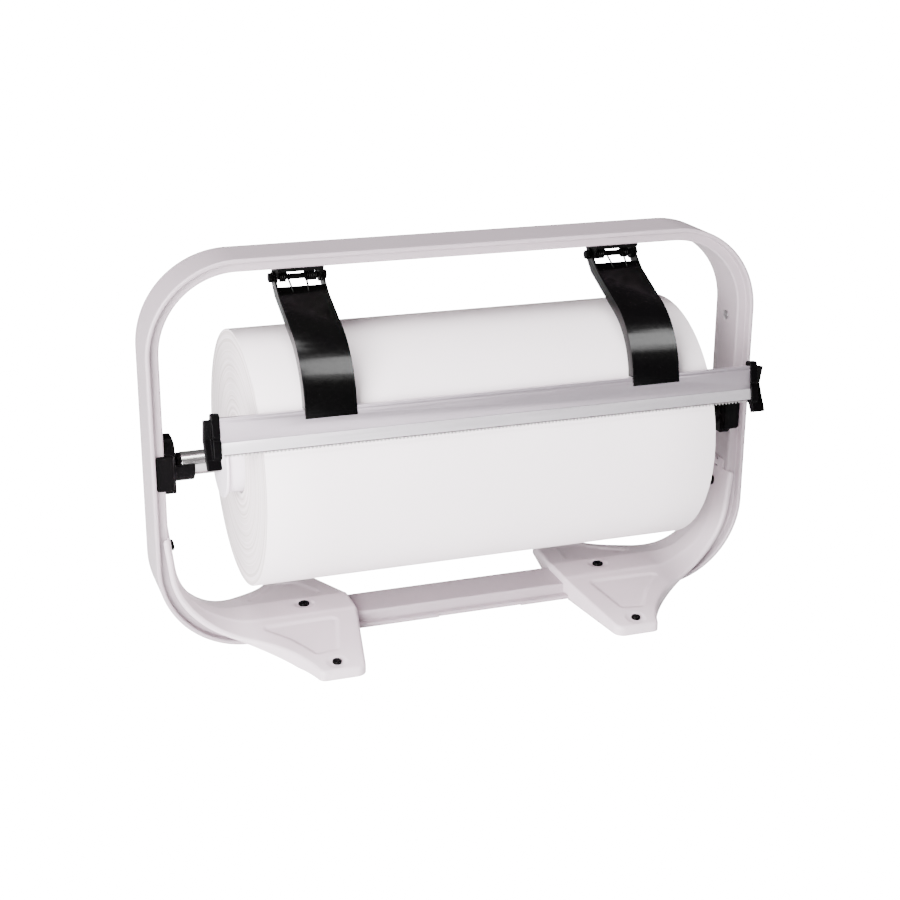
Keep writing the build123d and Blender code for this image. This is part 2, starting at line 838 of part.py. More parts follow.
def cutter_arm(side):
    """Channel arm: a web facing out, two flanges behind it and an ear on each for the pin."""
    left = side * hinge_x - arm_half_width
    outer = arm_route(0)[0]
    inner = arm_route(arm_flange)[0]
    blend = outer + (arm_route(0)[1] - outer).normalized() * arm_ear_run
    with BuildPart() as piece:
        for end in (0, 2 * arm_half_width - arm_sheet):
            with BuildSketch(side_plane(left + end)):
                with BuildLine():
                    arm_band(arm_flange)
                make_face()
                with BuildSketch(mode=Mode.PRIVATE) as ear:
                    Polygon((outer.X, outer.Y), (inner.X, inner.Y), (blend.X, blend.Y), align=None)
                    with Locations((0, pin_z)):
                        Circle(ear_radius)
                    make_hull()
                add(ear.sketch)
                with Locations((0, pin_z)):
                    Circle(pin_radius + pin_fit, mode=Mode.SUBTRACT)
            extrude(amount=arm_sheet)
        with BuildSketch(side_plane(left)):
            with BuildLine():
                arm_band(arm_sheet)
            make_face()
        extrude(amount=2 * arm_half_width)
        with BuildSketch(rail_plane(left)):
            with Locations((0, rail_height + arm_notch_gap)):
                Rectangle(2 * arm_flange, 2 * arm_lap, align=(Align.MIN, Align.MAX))
        extrude(amount=2 * arm_half_width, mode=Mode.SUBTRACT)
        for seat in rail_screw_seats(side):
            add(seat * rail_drill, mode=Mode.SUBTRACT)
    return piece


def rail_screw_seats(side):
    """Where an arm's two screws sit on the rail's back, each facing away from the arm."""
    for shift in (-rail_screw_spread, rail_screw_spread):
        plane = rail_plane(side * hinge_x + shift)
        place = rail_origin + plane.x_dir * rail_wall + plane.y_dir * (rail_height - rail_screw_drop)
        yield Plane(origin=place + Vector(plane.origin.X, 0, 0), x_dir=(1, 0, 0), z_dir=rail_back).location


right_arm = cutter_arm(1)
right_arm.part.label = "right_arm"
left_arm = cutter_arm(-1)
left_arm.part.label = "left_arm"

with BuildPart() as arm_screws:
    arm_screw = screw(rail_head_radius, rail_head_height, rail_shank_radius, rail_shank)
    for side in (-1, 1):
        for seat in rail_screw_seats(side):
            add(seat * arm_screw)
arm_screws.part.label = "arm_screws"


# ---------------------------------------------------------------- cutter rail
with BuildPart() as cutter_rail:
    ridge_foot = rail_height - 2 * ridge_height - ridge_groove
    with BuildSketch(rail_plane(-rail_half_length)):
        Polygon(
            (-band_flare, 0),
            (-band_flare / 3, band_height),
            (band_step, band_height),
            (band_step, band_height + band_groove),
            (0, band_height + band_groove),
            (0, ridge_foot),
            (-ridge_rise, ridge_foot),
            (-ridge_rise, ridge_foot + ridge_height),
            (band_step, ridge_foot + ridge_height),
            (band_step, rail_height - ridge_height),
            (-ridge_rise, rail_height - ridge_height),
            (-ridge_rise, rail_height),
            (rail_depth, rail_height),
            (rail_depth, rail_height - rail_lip),
            (rail_depth - rail_wall, rail_height - rail_lip),
            (rail_depth - rail_wall, rail_height - rail_wall),
            (rail_wall, rail_height - rail_wall),
            (rail_wall, 0),
            align=None,
        )
    extrude(amount=2 * rail_half_length)
    for side in (-1, 1):
        with BuildSketch(rail_plane(side * hinge_x - arm_half_width - arm_notch_gap)):
            with Locations((0, rail_height)):
                Rectangle(2 * arm_sheet, 2 * arm_lap, align=(Align.MAX, Align.CENTER))
        extrude(amount=2 * (arm_half_width + arm_notch_gap), mode=Mode.SUBTRACT)
        for seat in rail_screw_seats(side):
            add(seat * rail_drill, mode=Mode.SUBTRACT)
cutter_rail.part.label = "cutter_rail"

with BuildPart() as serrated_blade:
    blade_half = rail_half_length - blade_margin
    teeth = int(2 * blade_half / tooth_pitch)
    first = -teeth * tooth_pitch / 2
    tip = -blade_drop
    outline = [(first, blade_rise)]
    for tooth in range(teeth):
        outline.append((first + tooth * tooth_pitch, tip + tooth_depth))
        outline.append((first + (tooth + 0.5) * tooth_pitch, tip))
    outline += [(-first, tip + tooth_depth), (-first, blade_rise)]
    back_face = rail_origin + rail_back * (rail_wall + blade_thickness)
    with BuildSketch(Plane(origin=back_face, x_dir=(1, 0, 0), z_dir=-rail_back)):
        Polygon(*outline, align=None)
    extrude(amount=blade_thickness)
serrated_blade.part.label = "serrated_blade"

with BuildPart() as right_end_cap:
    # collar over the rail's end: one lobe for its face and one for the band below, with a waist between
    lobes = ((collar_waist, rail_height + collar_rise), (-collar_drop, collar_waist))
    with BuildSketch(rail_plane(rail_half_length)):
        for (bottom, top), front in zip(lobes, (collar_front, collar_front + collar_swell)):
            with Locations((-front, bottom)):
                RectangleRounded(front + collar_back, top - bottom, collar_round, align=Align.MIN)
        with Locations((collar_waist_depth, collar_waist - collar_round)):
            Rectangle(collar_back - collar_waist_depth, 2 * collar_round, align=Align.MIN)
    extrude(amount=collar_length)
    with BuildSketch(rail_plane(rail_half_length + fin_start)) as fin:
        Polygon(*fin_outline, align=None)
        fillet(fin.vertices(), fin_round)
    extrude(amount=fin_length)
    with BuildSketch(rail_plane(rail_half_length + skirt_start)):
        Polygon(*skirt_outline, align=None)
    extrude(amount=fin_start + fin_length - skirt_start)
right_end_cap.part.label = "right_end_cap"
left_end_cap = mirrored(right_end_cap.part)
left_end_cap.part.label = "left_end_cap"


# ---------------------------------------------------------------- torsion springs
def angle_to_touch(y, z, way):
    """Angle about the pin at which a line from (y, z) touches the coil, and the line's length."""
    distance = math.hypot(y, z - pin_z)
    opening = math.acos(coil_radius / distance)
    return math.atan2(z - pin_z, y) + way * opening, math.sqrt(distance**2 - coil_radius**2)


def spring(start, way, turns):
    """Torsion spring about a hinge pin: a leg over the arm, the coil, and a leg under the bracket.

    start is where the coil begins along X, way is 1 or -1 for the direction in which it grows.
    """
    lap = arm_route(-wire_radius - seat_gap)
    along = (lap[1] - lap[0]).normalized()
    arm_seat = lap[0] + along * leg_lap
    first, arm_leg = angle_to_touch(arm_seat.X, arm_seat.Y, -1)
    last, back_leg = angle_to_touch(leg_back, web_top - bracket_sheet - wire_radius - seat_gap, 1)
    sweep_angle = (first - last) % (2 * math.pi) + 2 * math.pi * turns
    climb = way * coil_pitch / (2 * math.pi)
    lead = math.hypot(coil_radius, climb)

    def place(turned_by):
        angle = first - turned_by
        about = Vector(0, math.cos(angle), math.sin(angle)) * coil_radius
        return Vector(start + climb * turned_by, 0, pin_z) + about

    def heading(turned_by):
        angle = first - turned_by
        return Vector(climb, coil_radius * math.sin(angle), -coil_radius * math.cos(angle)) / lead

    quarters = round(4 * sweep_angle / (2 * math.pi))
    stops = [sweep_angle * k / quarters for k in range(quarters + 1)]
    arm_end = place(0) - heading(0) * (arm_leg * lead / coil_radius)
    back_end = place(sweep_angle) + heading(sweep_angle) * (back_leg * lead / coil_radius)
    with BuildPart() as piece:
        with BuildLine():
            Line(arm_end, place(0))
            for here, there in zip(stops, stops[1:]):
                p, q, a, b = place(here), place(there), heading(here), heading(there)
                chord, both, closing = q - p, a + b, 1 - a.dot(b)
                reach = math.sqrt(chord.dot(both) ** 2 + 2 * closing * chord.dot(chord)) - chord.dot(both)
                reach /= 2 * closing
                joint = (p + q + (a - b) * reach) / 2
                TangentArc(p, joint, tangent=a)
                TangentArc(joint, q, tangent=(q - p - both * reach))
            Line(place(sweep_angle), back_end)
        with BuildSketch(Plane(origin=arm_end, z_dir=heading(0))):
            Circle(wire_radius)
        sweep()
    steps = round(sweep_angle / (2 * math.pi) * gap_steps)
    points = [place(2 * math.pi * k / gap_steps) for k in range(steps)]
    gaps = [(p - q).length for i, p in enumerate(points) for q in points[i + gap_steps // 2 :]]
    return piece.part, min(gaps) - 2 * wire_radius


with BuildPart() as torsion_springs:
    least_gap = math.inf
    for shift, way, turns in ((outer_coil_start, 1, outer_turns), (-inner_coil_start, -1, inner_turns)):
        form, gap = spring(hinge_x + shift, way, turns)
        least_gap = min(least_gap, gap)
        add(form)
    mirror(about=Plane.YZ)
    print(f"torsion springs: least gap between turns {least_gap:.2f} mm")
torsion_springs.part.label = "torsion_springs"

parts = [
    frame_hoop, left_foot, right_foot, foot_pads, toe_screws, spine_screws, tail_screws, upright_rivets,
    left_shaft_bracket, right_shaft_bracket, paper_roll, roll_core, shaft_tube, left_hub, right_hub,
    left_end_plug, right_end_plug, left_hinge_bracket, right_hinge_bracket, hinge_screws,
    left_hinge_pin, right_hinge_pin, hinge_nuts, torsion_springs, left_arm, right_arm, arm_screws,
    cutter_rail, serrated_blade, left_end_cap, right_end_cap,
]
os.makedirs("parts", exist_ok=True)
for piece in parts:
    export_step(piece.part, f"parts/{piece.part.label}.step")
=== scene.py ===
"""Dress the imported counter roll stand: camera, light, finishes and finely modelled pieces."""

from __future__ import annotations

import logging
import math
import random
from contextlib import contextmanager
from dataclasses import dataclass, field
from enum import Enum
from typing import Callable, Iterable, Iterator, Sequence

import bmesh
import bpy
import numpy as np
from mathutils import Matrix, Vector
from mathutils.geometry import delaunay_2d_cdt

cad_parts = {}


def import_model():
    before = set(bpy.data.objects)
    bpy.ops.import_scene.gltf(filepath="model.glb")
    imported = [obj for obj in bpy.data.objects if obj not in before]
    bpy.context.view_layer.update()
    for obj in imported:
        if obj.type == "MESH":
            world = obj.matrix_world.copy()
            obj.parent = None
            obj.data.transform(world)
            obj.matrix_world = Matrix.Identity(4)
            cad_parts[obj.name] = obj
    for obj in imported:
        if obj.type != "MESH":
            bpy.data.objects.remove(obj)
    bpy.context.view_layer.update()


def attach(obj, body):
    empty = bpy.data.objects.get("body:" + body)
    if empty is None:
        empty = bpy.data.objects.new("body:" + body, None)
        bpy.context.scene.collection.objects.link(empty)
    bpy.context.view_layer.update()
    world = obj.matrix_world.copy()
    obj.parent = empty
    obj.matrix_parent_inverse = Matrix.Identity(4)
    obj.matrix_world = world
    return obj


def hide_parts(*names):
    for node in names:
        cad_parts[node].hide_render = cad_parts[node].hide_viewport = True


LOG = logging.getLogger("counter_roll_stand")
MM = 0.001
AXIS_HEIGHT = 214.0
ROLL_HALF = 250.0

Point = tuple[float, float]
Triple = tuple[float, float, float]
Outline = list[Point]


class Body(str, Enum):
    """The rigid bodies that pieces ride on."""

    STAND = "stand"
    ROLL = "roll"
    CUTTER = "cutter"


# ---------------------------------------------------------------- shapes from points, in millimetres
def rounded(corners: Sequence[Triple], steps: int = 6) -> Outline:
    """Round the corners of a closed outline.

    Args:
        corners: Each corner's two coordinates and the radius of its rounding.
        steps: Segments in each rounding.

    Returns:
        The outline's points in order.
    """
    points: Outline = []
    for i, (x, y, radius) in enumerate(corners):
        here = Vector((x, y))
        if radius == 0:
            points.append((x, y))
            continue
        before = (Vector(corners[i - 1][:2]) - here).normalized()
        after = (Vector(corners[(i + 1) % len(corners)][:2]) - here).normalized()
        half = before.angle(after) / 2
        middle = here + (before + after).normalized() * (radius / math.sin(half))
        start = here + before * (radius / math.tan(half)) - middle
        end = here + after * (radius / math.tan(half)) - middle
        turn = start.angle_signed(end)
        for k in range(steps + 1):
            spoke = Matrix.Rotation(-turn * k / steps, 2) @ start
            points.append(tuple(middle + spoke))
    return points


def eased(value: np.ndarray, start: float, end: float) -> np.ndarray:
    """Ease from 0 at the start to 1 at the end."""
    share = np.clip((value - start) / (end - start), 0, 1)
    return share * share * (3 - 2 * share)


@contextmanager
def edited(mesh: bpy.types.Mesh) -> Iterator[bmesh.types.BMesh]:
    """Open a mesh for editing, and put the result back into it.

    Args:
        mesh: The mesh.

    Yields:
        Its editable form.
    """
    form = bmesh.new()
    form.from_mesh(mesh)
    yield form
    form.to_mesh(mesh)
    form.free()


def mesh_of(name: str, points: Iterable[Sequence[float]], faces: Sequence[Sequence[int]]) -> bpy.types.Mesh:
    """Make a mesh from points in millimetres, with its faces turned outwards.

    Args:
        name: The mesh's name.
        points: Corner points, in millimetres.
        faces: Corner numbers of each face.

    Returns:
        The mesh, in metres.
    """
    mesh = bpy.data.meshes.new(name)
    mesh.from_pydata([[c * MM for c in p] for p in points], [], faces)
    with edited(mesh) as form:
        bmesh.ops.remove_doubles(form, verts=form.verts, dist=1e-7)
        bmesh.ops.recalc_face_normals(form, faces=form.faces)
    mesh.shade_smooth()
    return mesh


def ring_faces(rings: int, around: int, closed: bool = True) -> list[tuple[int, int, int, int]]:
    """Quads between rings of points, where point j of ring i is number i * around + j.

    Args:
        rings: Number of rings.
        around: Points in each ring.
        closed: Whether the last ring joins the first.

    Returns:
        The faces.
    """
    last = rings if closed else rings - 1
    faces = []
    for i in range(last):
        here, there = i * around, (i + 1) % rings * around
        for j in range(around):
            k = (j + 1) % around
            faces.append((here + j, here + k, there + k, there + j))
    return faces


def turned(name: str, outline: Sequence[Point], segments: int = 128) -> bpy.types.Mesh:
    """Turn a closed outline of (x, radius) points about the roll's axis.

    Args:
        name: The mesh's name.
        outline: The outline, in millimetres.
        segments: Steps round the axis.

    Returns:
        The mesh.
    """
    points = []
    for k in range(segments):
        angle = 2 * math.pi * k / segments
        c, s = math.cos(angle), math.sin(angle)
        points += [(x, -r * c, AXIS_HEIGHT + r * s) for x, r in outline]
    return mesh_of(name, points, ring_faces(segments, len(outline)))


def baked(shape: bpy.types.Object, name: str) -> bpy.types.Mesh:
    """Turn an object with live modifiers into a plain mesh and drop the object.

    Args:
        shape: The object.
        name: The new mesh's name.

    Returns:
        The evaluated mesh.
    """
    graph = bpy.context.evaluated_depsgraph_get()
    mesh = bpy.data.meshes.new_from_object(shape.evaluated_get(graph))
    mesh.name = name
    bpy.data.objects.remove(shape)
    return mesh


def linked(name: str, mesh: bpy.types.Mesh) -> bpy.types.Object:
    """Put a mesh in the scene as an object at the origin."""
    item = bpy.data.objects.new(name, mesh)
    bpy.context.scene.collection.objects.link(item)
    return item


def clean_copy(node: str) -> bpy.types.Mesh:
    """Copy a construction node's mesh, with its doubles merged and its flat faces whole.

    Args:
        node: The node to copy.

    Returns:
        The new mesh.
    """
    mesh = bpy.data.objects[node].data.copy()
    mesh.name = f"{node}_form"
    with edited(mesh) as form:
        bmesh.ops.remove_doubles(form, verts=form.verts, dist=2e-6)
        bmesh.ops.dissolve_limit(form, angle_limit=math.radians(0.4), verts=form.verts, edges=form.edges)
    mesh.materials.clear()
    mesh.shade_smooth()
    return mesh


# ---------------------------------------------------------------- camera and studio
@dataclass(frozen=True)
class CameraView:
    """The photograph's viewpoint, in metres and degrees.

    Attributes:
        place: Where the lens is.
        yaw: Turn to the right of looking along +Y.
        pitch: Tilt below the horizon.
        roll: Turn about the view axis.
        lens: Focal length on a 36 mm sensor, in millimetres.
    """

    place: Triple = (-0.59345, -1.66854, 0.8191)
    yaw: float = 19.32
    pitch: float = 19.41
    roll: float = 0.37
    lens: float = 66.91

    def build(self) -> None:
        """Make the scene's camera."""
        yaw, pitch, roll = (math.radians(v) for v in (self.yaw, self.pitch, self.roll))
        ahead = Vector((math.sin(yaw) * math.cos(pitch), math.cos(yaw) * math.cos(pitch), -math.sin(pitch)))
        level = Vector((math.cos(yaw), -math.sin(yaw), 0))
        above = level.cross(ahead)
        right = level * math.cos(roll) + above * math.sin(roll)
        up = above * math.cos(roll) - level * math.sin(roll)
        data = bpy.data.cameras.new("photo_camera")
        data.lens = self.lens
        data.sensor_width = 36
        data.clip_start = 0.05
        data.clip_end = 50
        camera = bpy.data.objects.new("photo_camera", data)
        camera.matrix_world = Matrix(
            (
                (right.x, up.x, -ahead.x, self.place[0]),
                (right.y, up.y, -ahead.y, self.place[1]),
                (right.z, up.z, -ahead.z, self.place[2]),
                (0, 0, 0, 1),
            )
        )
        bpy.context.scene.collection.objects.link(camera)
        bpy.context.scene.camera = camera


@dataclass(frozen=True)
class Lamp:
    """A soft light.

    Attributes:
        name: Its name.
        place: Where it stands, in metres.
        size: Its width and height, in metres.
        power: Power in watts.
    """

    name: str
    place: Triple
    size: tuple[float, float]
    power: float

    def build(self) -> bpy.types.Object:
        """Make the light, aimed at the object.

        Returns:
            The light.
        """
        data = bpy.data.lights.new(self.name, "AREA")
        data.shape = "RECTANGLE"
        data.size, data.size_y = self.size
        data.energy = self.power
        lamp = bpy.data.objects.new(self.name, data)
        lamp.location = self.place
        aim = Vector((0, 0, AXIS_HEIGHT * MM)) - lamp.location
        lamp.rotation_euler = aim.to_track_quat("-Z", "Y").to_euler()
        bpy.context.scene.collection.objects.link(lamp)
        return lamp


@dataclass(frozen=True)
class Studio:
    """White floor and surround with soft lights.

    Attributes:
        half: Half the floor's width, in metres.
        glow: Brightness of the floor and surround as the lens sees them.
        surround: Brightness of the light that comes from all round.
        lamps: The soft lights.
        arm_lamps: A broad light for each arm, flagged off from all else, that draws its soft highlight.
    """

    half: float = 6.0
    glow: float = 18.0
    surround: float = 0.22
    lamps: tuple[Lamp, ...] = (
        Lamp("front_light", (-1.35, -1.55, 0.65), (1.1, 1.1), 178),
        Lamp("side_light", (-2.4, -0.6, 0.35), (0.9, 0.6), 15),
        Lamp("top_light", (-0.7, -0.3, 2.6), (1.2, 1.2), 105),
    )
    arm_lamps: tuple[tuple[str, Lamp], ...] = (
        ("left_arm_piece", Lamp("left_arm_light", (0.6, -1.33, 1.99), (1.9, 0.9), 190)),
        ("right_arm_piece", Lamp("right_arm_light", (0.9, -1.5, 1.75), (1.9, 0.8), 180)),
    )

    def build(self) -> None:
        """Make the floor, the surround and the lights."""
        side = self.half
        mesh = bpy.data.meshes.new("floor")
        mesh.from_pydata([(-side, -side, 0), (side, -side, 0), (side, side, 0), (-side, side, 0)], [], [(0, 1, 2, 3)])
        mesh.materials.append(self._floor_finish())
        linked("floor", mesh)
        self._surround()
        for lamp in self.lamps:
            lamp.build()

    def light_arms(self) -> None:
        """Build the lights that only the arms take."""
        for name, lamp in self.arm_lamps:
            taker = bpy.data.collections.new(f"{lamp.name}_taker")
            taker.objects.link(bpy.data.objects[name])
            lamp.build().light_linking.receiver_collection = taker

    def _floor_finish(self) -> bpy.types.Material:
        """Make white paper that the lens sees evenly lit.

        Returns:
            The floor's material.
        """
        material = bpy.data.materials.new("floor_paper")
        material.use_nodes = True
        wiring = Wiring(material.node_tree)
        paper = wiring.nodes["Principled BSDF"]
        paper.inputs["Base Color"].default_value = (0.9, 0.9, 0.9, 1)
        paper.inputs["Roughness"].default_value = 0.9
        glow = wiring.add("ShaderNodeEmission", {"Strength": self.glow})
        seen = wiring.add("ShaderNodeLightPath").outputs["Is Camera Ray"]
        mixed = wiring.add("ShaderNodeMixShader", {0: seen, 1: paper.outputs[0], 2: glow.outputs[0]})
        wiring.link(mixed.outputs[0], wiring.nodes["Material Output"].inputs["Surface"])
        return material

    def _surround(self) -> None:
        """Light the scene from all round, with a white that only the lens sees behind it."""
        world = bpy.data.worlds.new("surround")
        world.use_nodes = True
        wiring = Wiring(world.node_tree)
        even = wiring.nodes["Background"]
        even.inputs["Color"].default_value = (1, 1, 1, 1)
        even.inputs["Strength"].default_value = self.surround
        white = wiring.add("ShaderNodeBackground", {"Color": (1, 1, 1, 1), "Strength": self.glow})
        seen = wiring.add("ShaderNodeLightPath").outputs["Is Camera Ray"]
        mixed = wiring.add("ShaderNodeMixShader", {0: seen, 1: even.outputs[0], 2: white.outputs[0]})
        wiring.link(mixed.outputs[0], wiring.nodes["World Output"].inputs["Surface"])
        bpy.context.scene.world = world


# ---------------------------------------------------------------- node wiring and finishes
class Wiring:
    """Short ways to add and join nodes in one tree."""

    def __init__(self, tree: bpy.types.NodeTree) -> None:
        """Hold the tree.

        Args:
            tree: The node tree to work on.
        """
        self.tree = tree
        self.nodes = tree.nodes

    def add(self, kind: str, inputs: dict | None = None, **settings: object) -> bpy.types.Node:
        """Add a node.

        Args:
            kind: The node's type.
            inputs: Value or source socket of each input, by name or number.
            **settings: The node's own settings.

        Returns:
            The node.
        """
        node = self.nodes.new(kind)
        for name, value in settings.items():
            setattr(node, name, value)
        for key, value in (inputs or {}).items():
            if isinstance(value, bpy.types.NodeSocket):
                self.link(value, node.inputs[key])
            else:
                node.inputs[key].default_value = value
        return node

    def link(self, source: bpy.types.NodeSocket, target: bpy.types.NodeSocket) -> None:
        """Join two sockets."""
        self.tree.links.new(source, target)

    def math(self, way: str, first: object, second: object = 0.0, clamp: bool = False) -> bpy.types.NodeSocket:
        """Add a Math node and give its output."""
        return self.add("ShaderNodeMath", {0: first, 1: second}, operation=way, use_clamp=clamp).outputs[0]


class Effects:
    """Shader groups that more than one finish uses, each built once."""

    def __init__(self) -> None:
        """Build the groups."""
        self.grain = self._grain()
        self.drift = self._drift()
        self.layers = self._layers()

    def _start(self, name: str, inputs: dict[str, tuple[str, object]], outputs: dict[str, str]) -> Wiring:
        """Start a group with its sockets.

        Args:
            name: The group's name.
            inputs: Socket type and default of each input.
            outputs: Socket type of each output.

        Returns:
            The group's wiring, with its input and output nodes made.
        """
        tree = bpy.data.node_groups.new(name, "ShaderNodeTree")
        for label, (kind, value) in inputs.items():
            tree.interface.new_socket(label, in_out="INPUT", socket_type=kind).default_value = value
        for label, kind in outputs.items():
            tree.interface.new_socket(label, in_out="OUTPUT", socket_type=kind)
        wiring = Wiring(tree)
        wiring.source = wiring.add("NodeGroupInput")
        wiring.sink = wiring.add("NodeGroupOutput")
        return wiring

    def _grain(self) -> bpy.types.NodeTree:
        """Fine noise on the piece, stretched along its own axes, between two values."""
        wiring = self._start(
            "fine_grain",
            {
                "Scale": ("NodeSocketFloat", 500.0),
                "Stretch": ("NodeSocketVector", (1, 1, 1)),
                "Low": ("NodeSocketFloat", 0.0),
                "High": ("NodeSocketFloat", 1.0),
            },
            {"Value": "NodeSocketFloat"},
        )
        place = wiring.add("ShaderNodeTexCoord").outputs["Object"]
        stretched = wiring.add(
            "ShaderNodeVectorMath", {0: place, 1: wiring.source.outputs["Stretch"]}, operation="MULTIPLY"
        )
        noise = wiring.add(
            "ShaderNodeTexNoise",
            {"Vector": stretched.outputs[0], "Scale": wiring.source.outputs["Scale"], "Detail": 3.0, "Roughness": 0.55},
        )
        spread = wiring.add(
            "ShaderNodeMapRange",
            {
                "Value": noise.outputs[0],
                "From Min": 0.3,
                "From Max": 0.7,
                "To Min": wiring.source.outputs["Low"],
                "To Max": wiring.source.outputs["High"],
            },
        )
        wiring.link(spread.outputs[0], wiring.sink.inputs["Value"])
        return wiring.tree

    def _drift(self) -> bpy.types.NodeTree:
        """Slow change between two near colours, with sparse small specks."""
        wiring = self._start(
            "tone_drift",
            {
                "Tone": ("NodeSocketColor", (0.8, 0.8, 0.8, 1)),
                "Other": ("NodeSocketColor", (0.75, 0.75, 0.75, 1)),
                "Scale": ("NodeSocketFloat", 9.0),
                "Specks": ("NodeSocketFloat", 0.1),
            },
            {"Color": "NodeSocketColor"},
        )
        place = wiring.add("ShaderNodeTexCoord").outputs["Object"]
        slow = wiring.add(
            "ShaderNodeTexNoise", {"Vector": place, "Scale": wiring.source.outputs["Scale"], "Detail": 4.0}
        )
        spread = wiring.add("ShaderNodeMapRange", {"Value": slow.outputs[0], "From Min": 0.35, "From Max": 0.65})
        tone = wiring.add(
            "ShaderNodeMix",
            {0: spread.outputs[0], 6: wiring.source.outputs["Tone"], 7: wiring.source.outputs["Other"]},
            data_type="RGBA",
        )
        cells = wiring.add("ShaderNodeTexVoronoi", {"Vector": place, "Scale": 160.0})
        speck = wiring.math("LESS_THAN", cells.outputs["Distance"], 0.06)
        weight = wiring.math("MULTIPLY", speck, wiring.source.outputs["Specks"])
        marked = wiring.add(
            "ShaderNodeMix", {0: weight, 6: tone.outputs[2], 7: (0.12, 0.11, 0.11, 1)}, data_type="RGBA"
        )
        wiring.link(marked.outputs[2], wiring.sink.inputs["Color"])
        return wiring.tree

    def _layers(self) -> bpy.types.NodeTree:
        """Rings about the roll's axis on its end faces, one value for each turn of paper."""
        wiring = self._start(
            "wound_layers",
            {"Pitch": ("NodeSocketFloat", 260.0), "End": ("NodeSocketFloat", ROLL_HALF * MM)},
            {"Rings": "NodeSocketFloat", "On End": "NodeSocketFloat"},
        )
        place = wiring.add("ShaderNodeTexCoord").outputs["Object"]
        parts = wiring.add("ShaderNodeSeparateXYZ", {0: place})
        rise = wiring.math("SUBTRACT", parts.outputs["Z"], AXIS_HEIGHT * MM)
        flat = wiring.add("ShaderNodeCombineXYZ", {"X": parts.outputs["Y"], "Y": rise})
        radius = wiring.add("ShaderNodeVectorMath", {0: flat.outputs[0]}, operation="LENGTH").outputs["Value"]
        wander = wiring.add("ShaderNodeTexNoise", {"Vector": place, "Scale": 14.0, "Detail": 2.0}).outputs[0]
        bent = wiring.math("ADD", radius, wiring.math("MULTIPLY", wander, 0.004))
        rings = wiring.add(
            "ShaderNodeTexNoise",
            {"W": bent, "Scale": wiring.source.outputs["Pitch"], "Detail": 5.0, "Roughness": 0.7},
            noise_dimensions="1D",
        )
        along = wiring.math("ABSOLUTE", parts.outputs["X"])
        inside = wiring.math("SUBTRACT", wiring.source.outputs["End"], along)
        on_end = wiring.math("LESS_THAN", inside, 0.0006)
        wiring.link(rings.outputs[0], wiring.sink.inputs["Rings"])
        wiring.link(on_end, wiring.sink.inputs["On End"])
        return wiring.tree


@dataclass(frozen=True)
class Finish:
    """A surface: two near tones, a grain that moves its gloss and relief, and its sheen.

    Attributes:
        name: The record's slot, which also names the material.
        tone: Base colour, linear.
        other: The near colour that it drifts to.
        gloss: Lowest and highest roughness.
        grain: Grain's scale, in cycles a metre.
        stretch: Scale of the grain along X, Y and Z.
        relief: Depth of the grain, in metres.
        drift: Scale of the colour's drift.
        specks: Strength of small dark specks.
        metallic: How metallic it is.
        coat: Weight of a clear coat.
        specular: Specular level.
    """

    name: str
    tone: Triple
    other: Triple
    gloss: tuple[float, float]
    grain: float = 600.0
    stretch: Triple = (1, 1, 1)
    relief: float = 0.00002
    drift: float = 9.0
    specks: float = 0.0
    metallic: float = 0.0
    coat: float = 0.0
    specular: float = 0.5

    def build(self, effects: Effects) -> bpy.types.Material:
        """Make the material.

        Args:
            effects: The shared shader groups.

        Returns:
            The material.
        """
        material = bpy.data.materials.new(self.name)
        material.use_nodes = True
        wiring = Wiring(material.node_tree)
        shader = wiring.nodes["Principled BSDF"]
        shader.inputs["Metallic"].default_value = self.metallic
        shader.inputs["Coat Weight"].default_value = self.coat
        shader.inputs["Coat Roughness"].default_value = 0.12
        shader.inputs["Specular IOR Level"].default_value = self.specular
        drift = wiring.add("ShaderNodeGroup", node_tree=effects.drift)
        for label, value in (
            ("Tone", (*self.tone, 1)),
            ("Other", (*self.other, 1)),
            ("Scale", self.drift),
            ("Specks", self.specks),
        ):
            drift.inputs[label].default_value = value
        gloss = self._grain(wiring, effects, self.gloss)
        relief = self._grain(wiring, effects, (0.0, 1.0))
        color, height = self.detail(wiring, effects, drift.outputs["Color"], relief)
        bump = wiring.add("ShaderNodeBump", {"Height": height, "Strength": 1.0, "Distance": self.relief})
        wiring.link(color, shader.inputs["Base Color"])
        wiring.link(gloss, shader.inputs["Roughness"])
        wiring.link(bump.outputs["Normal"], shader.inputs["Normal"])
        return material

    def _grain(self, wiring: Wiring, effects: Effects, span: tuple[float, float]) -> bpy.types.NodeSocket:
        """Place the grain group with this finish's values.

        Args:
            wiring: The material's wiring.
            effects: The shared shader groups.
            span: Lowest and highest value.

        Returns:
            The group's output.
        """
        node = wiring.add("ShaderNodeGroup", node_tree=effects.grain)
        for label, value in (("Scale", self.grain), ("Stretch", self.stretch), ("Low", span[0]), ("High", span[1])):
            node.inputs[label].default_value = value
        return node.outputs["Value"]

    def detail(
        self, wiring: Wiring, effects: Effects, color: bpy.types.NodeSocket, height: bpy.types.NodeSocket
    ) -> tuple[bpy.types.NodeSocket, bpy.types.NodeSocket]:
        """Add what only this finish shows; the plain finish adds nothing.

        Args:
            wiring: The material's wiring.
            effects: The shared shader groups.
            color: The colour so far.
            height: The relief so far.

        Returns:
            The colour and relief to use.
        """
        return color, height


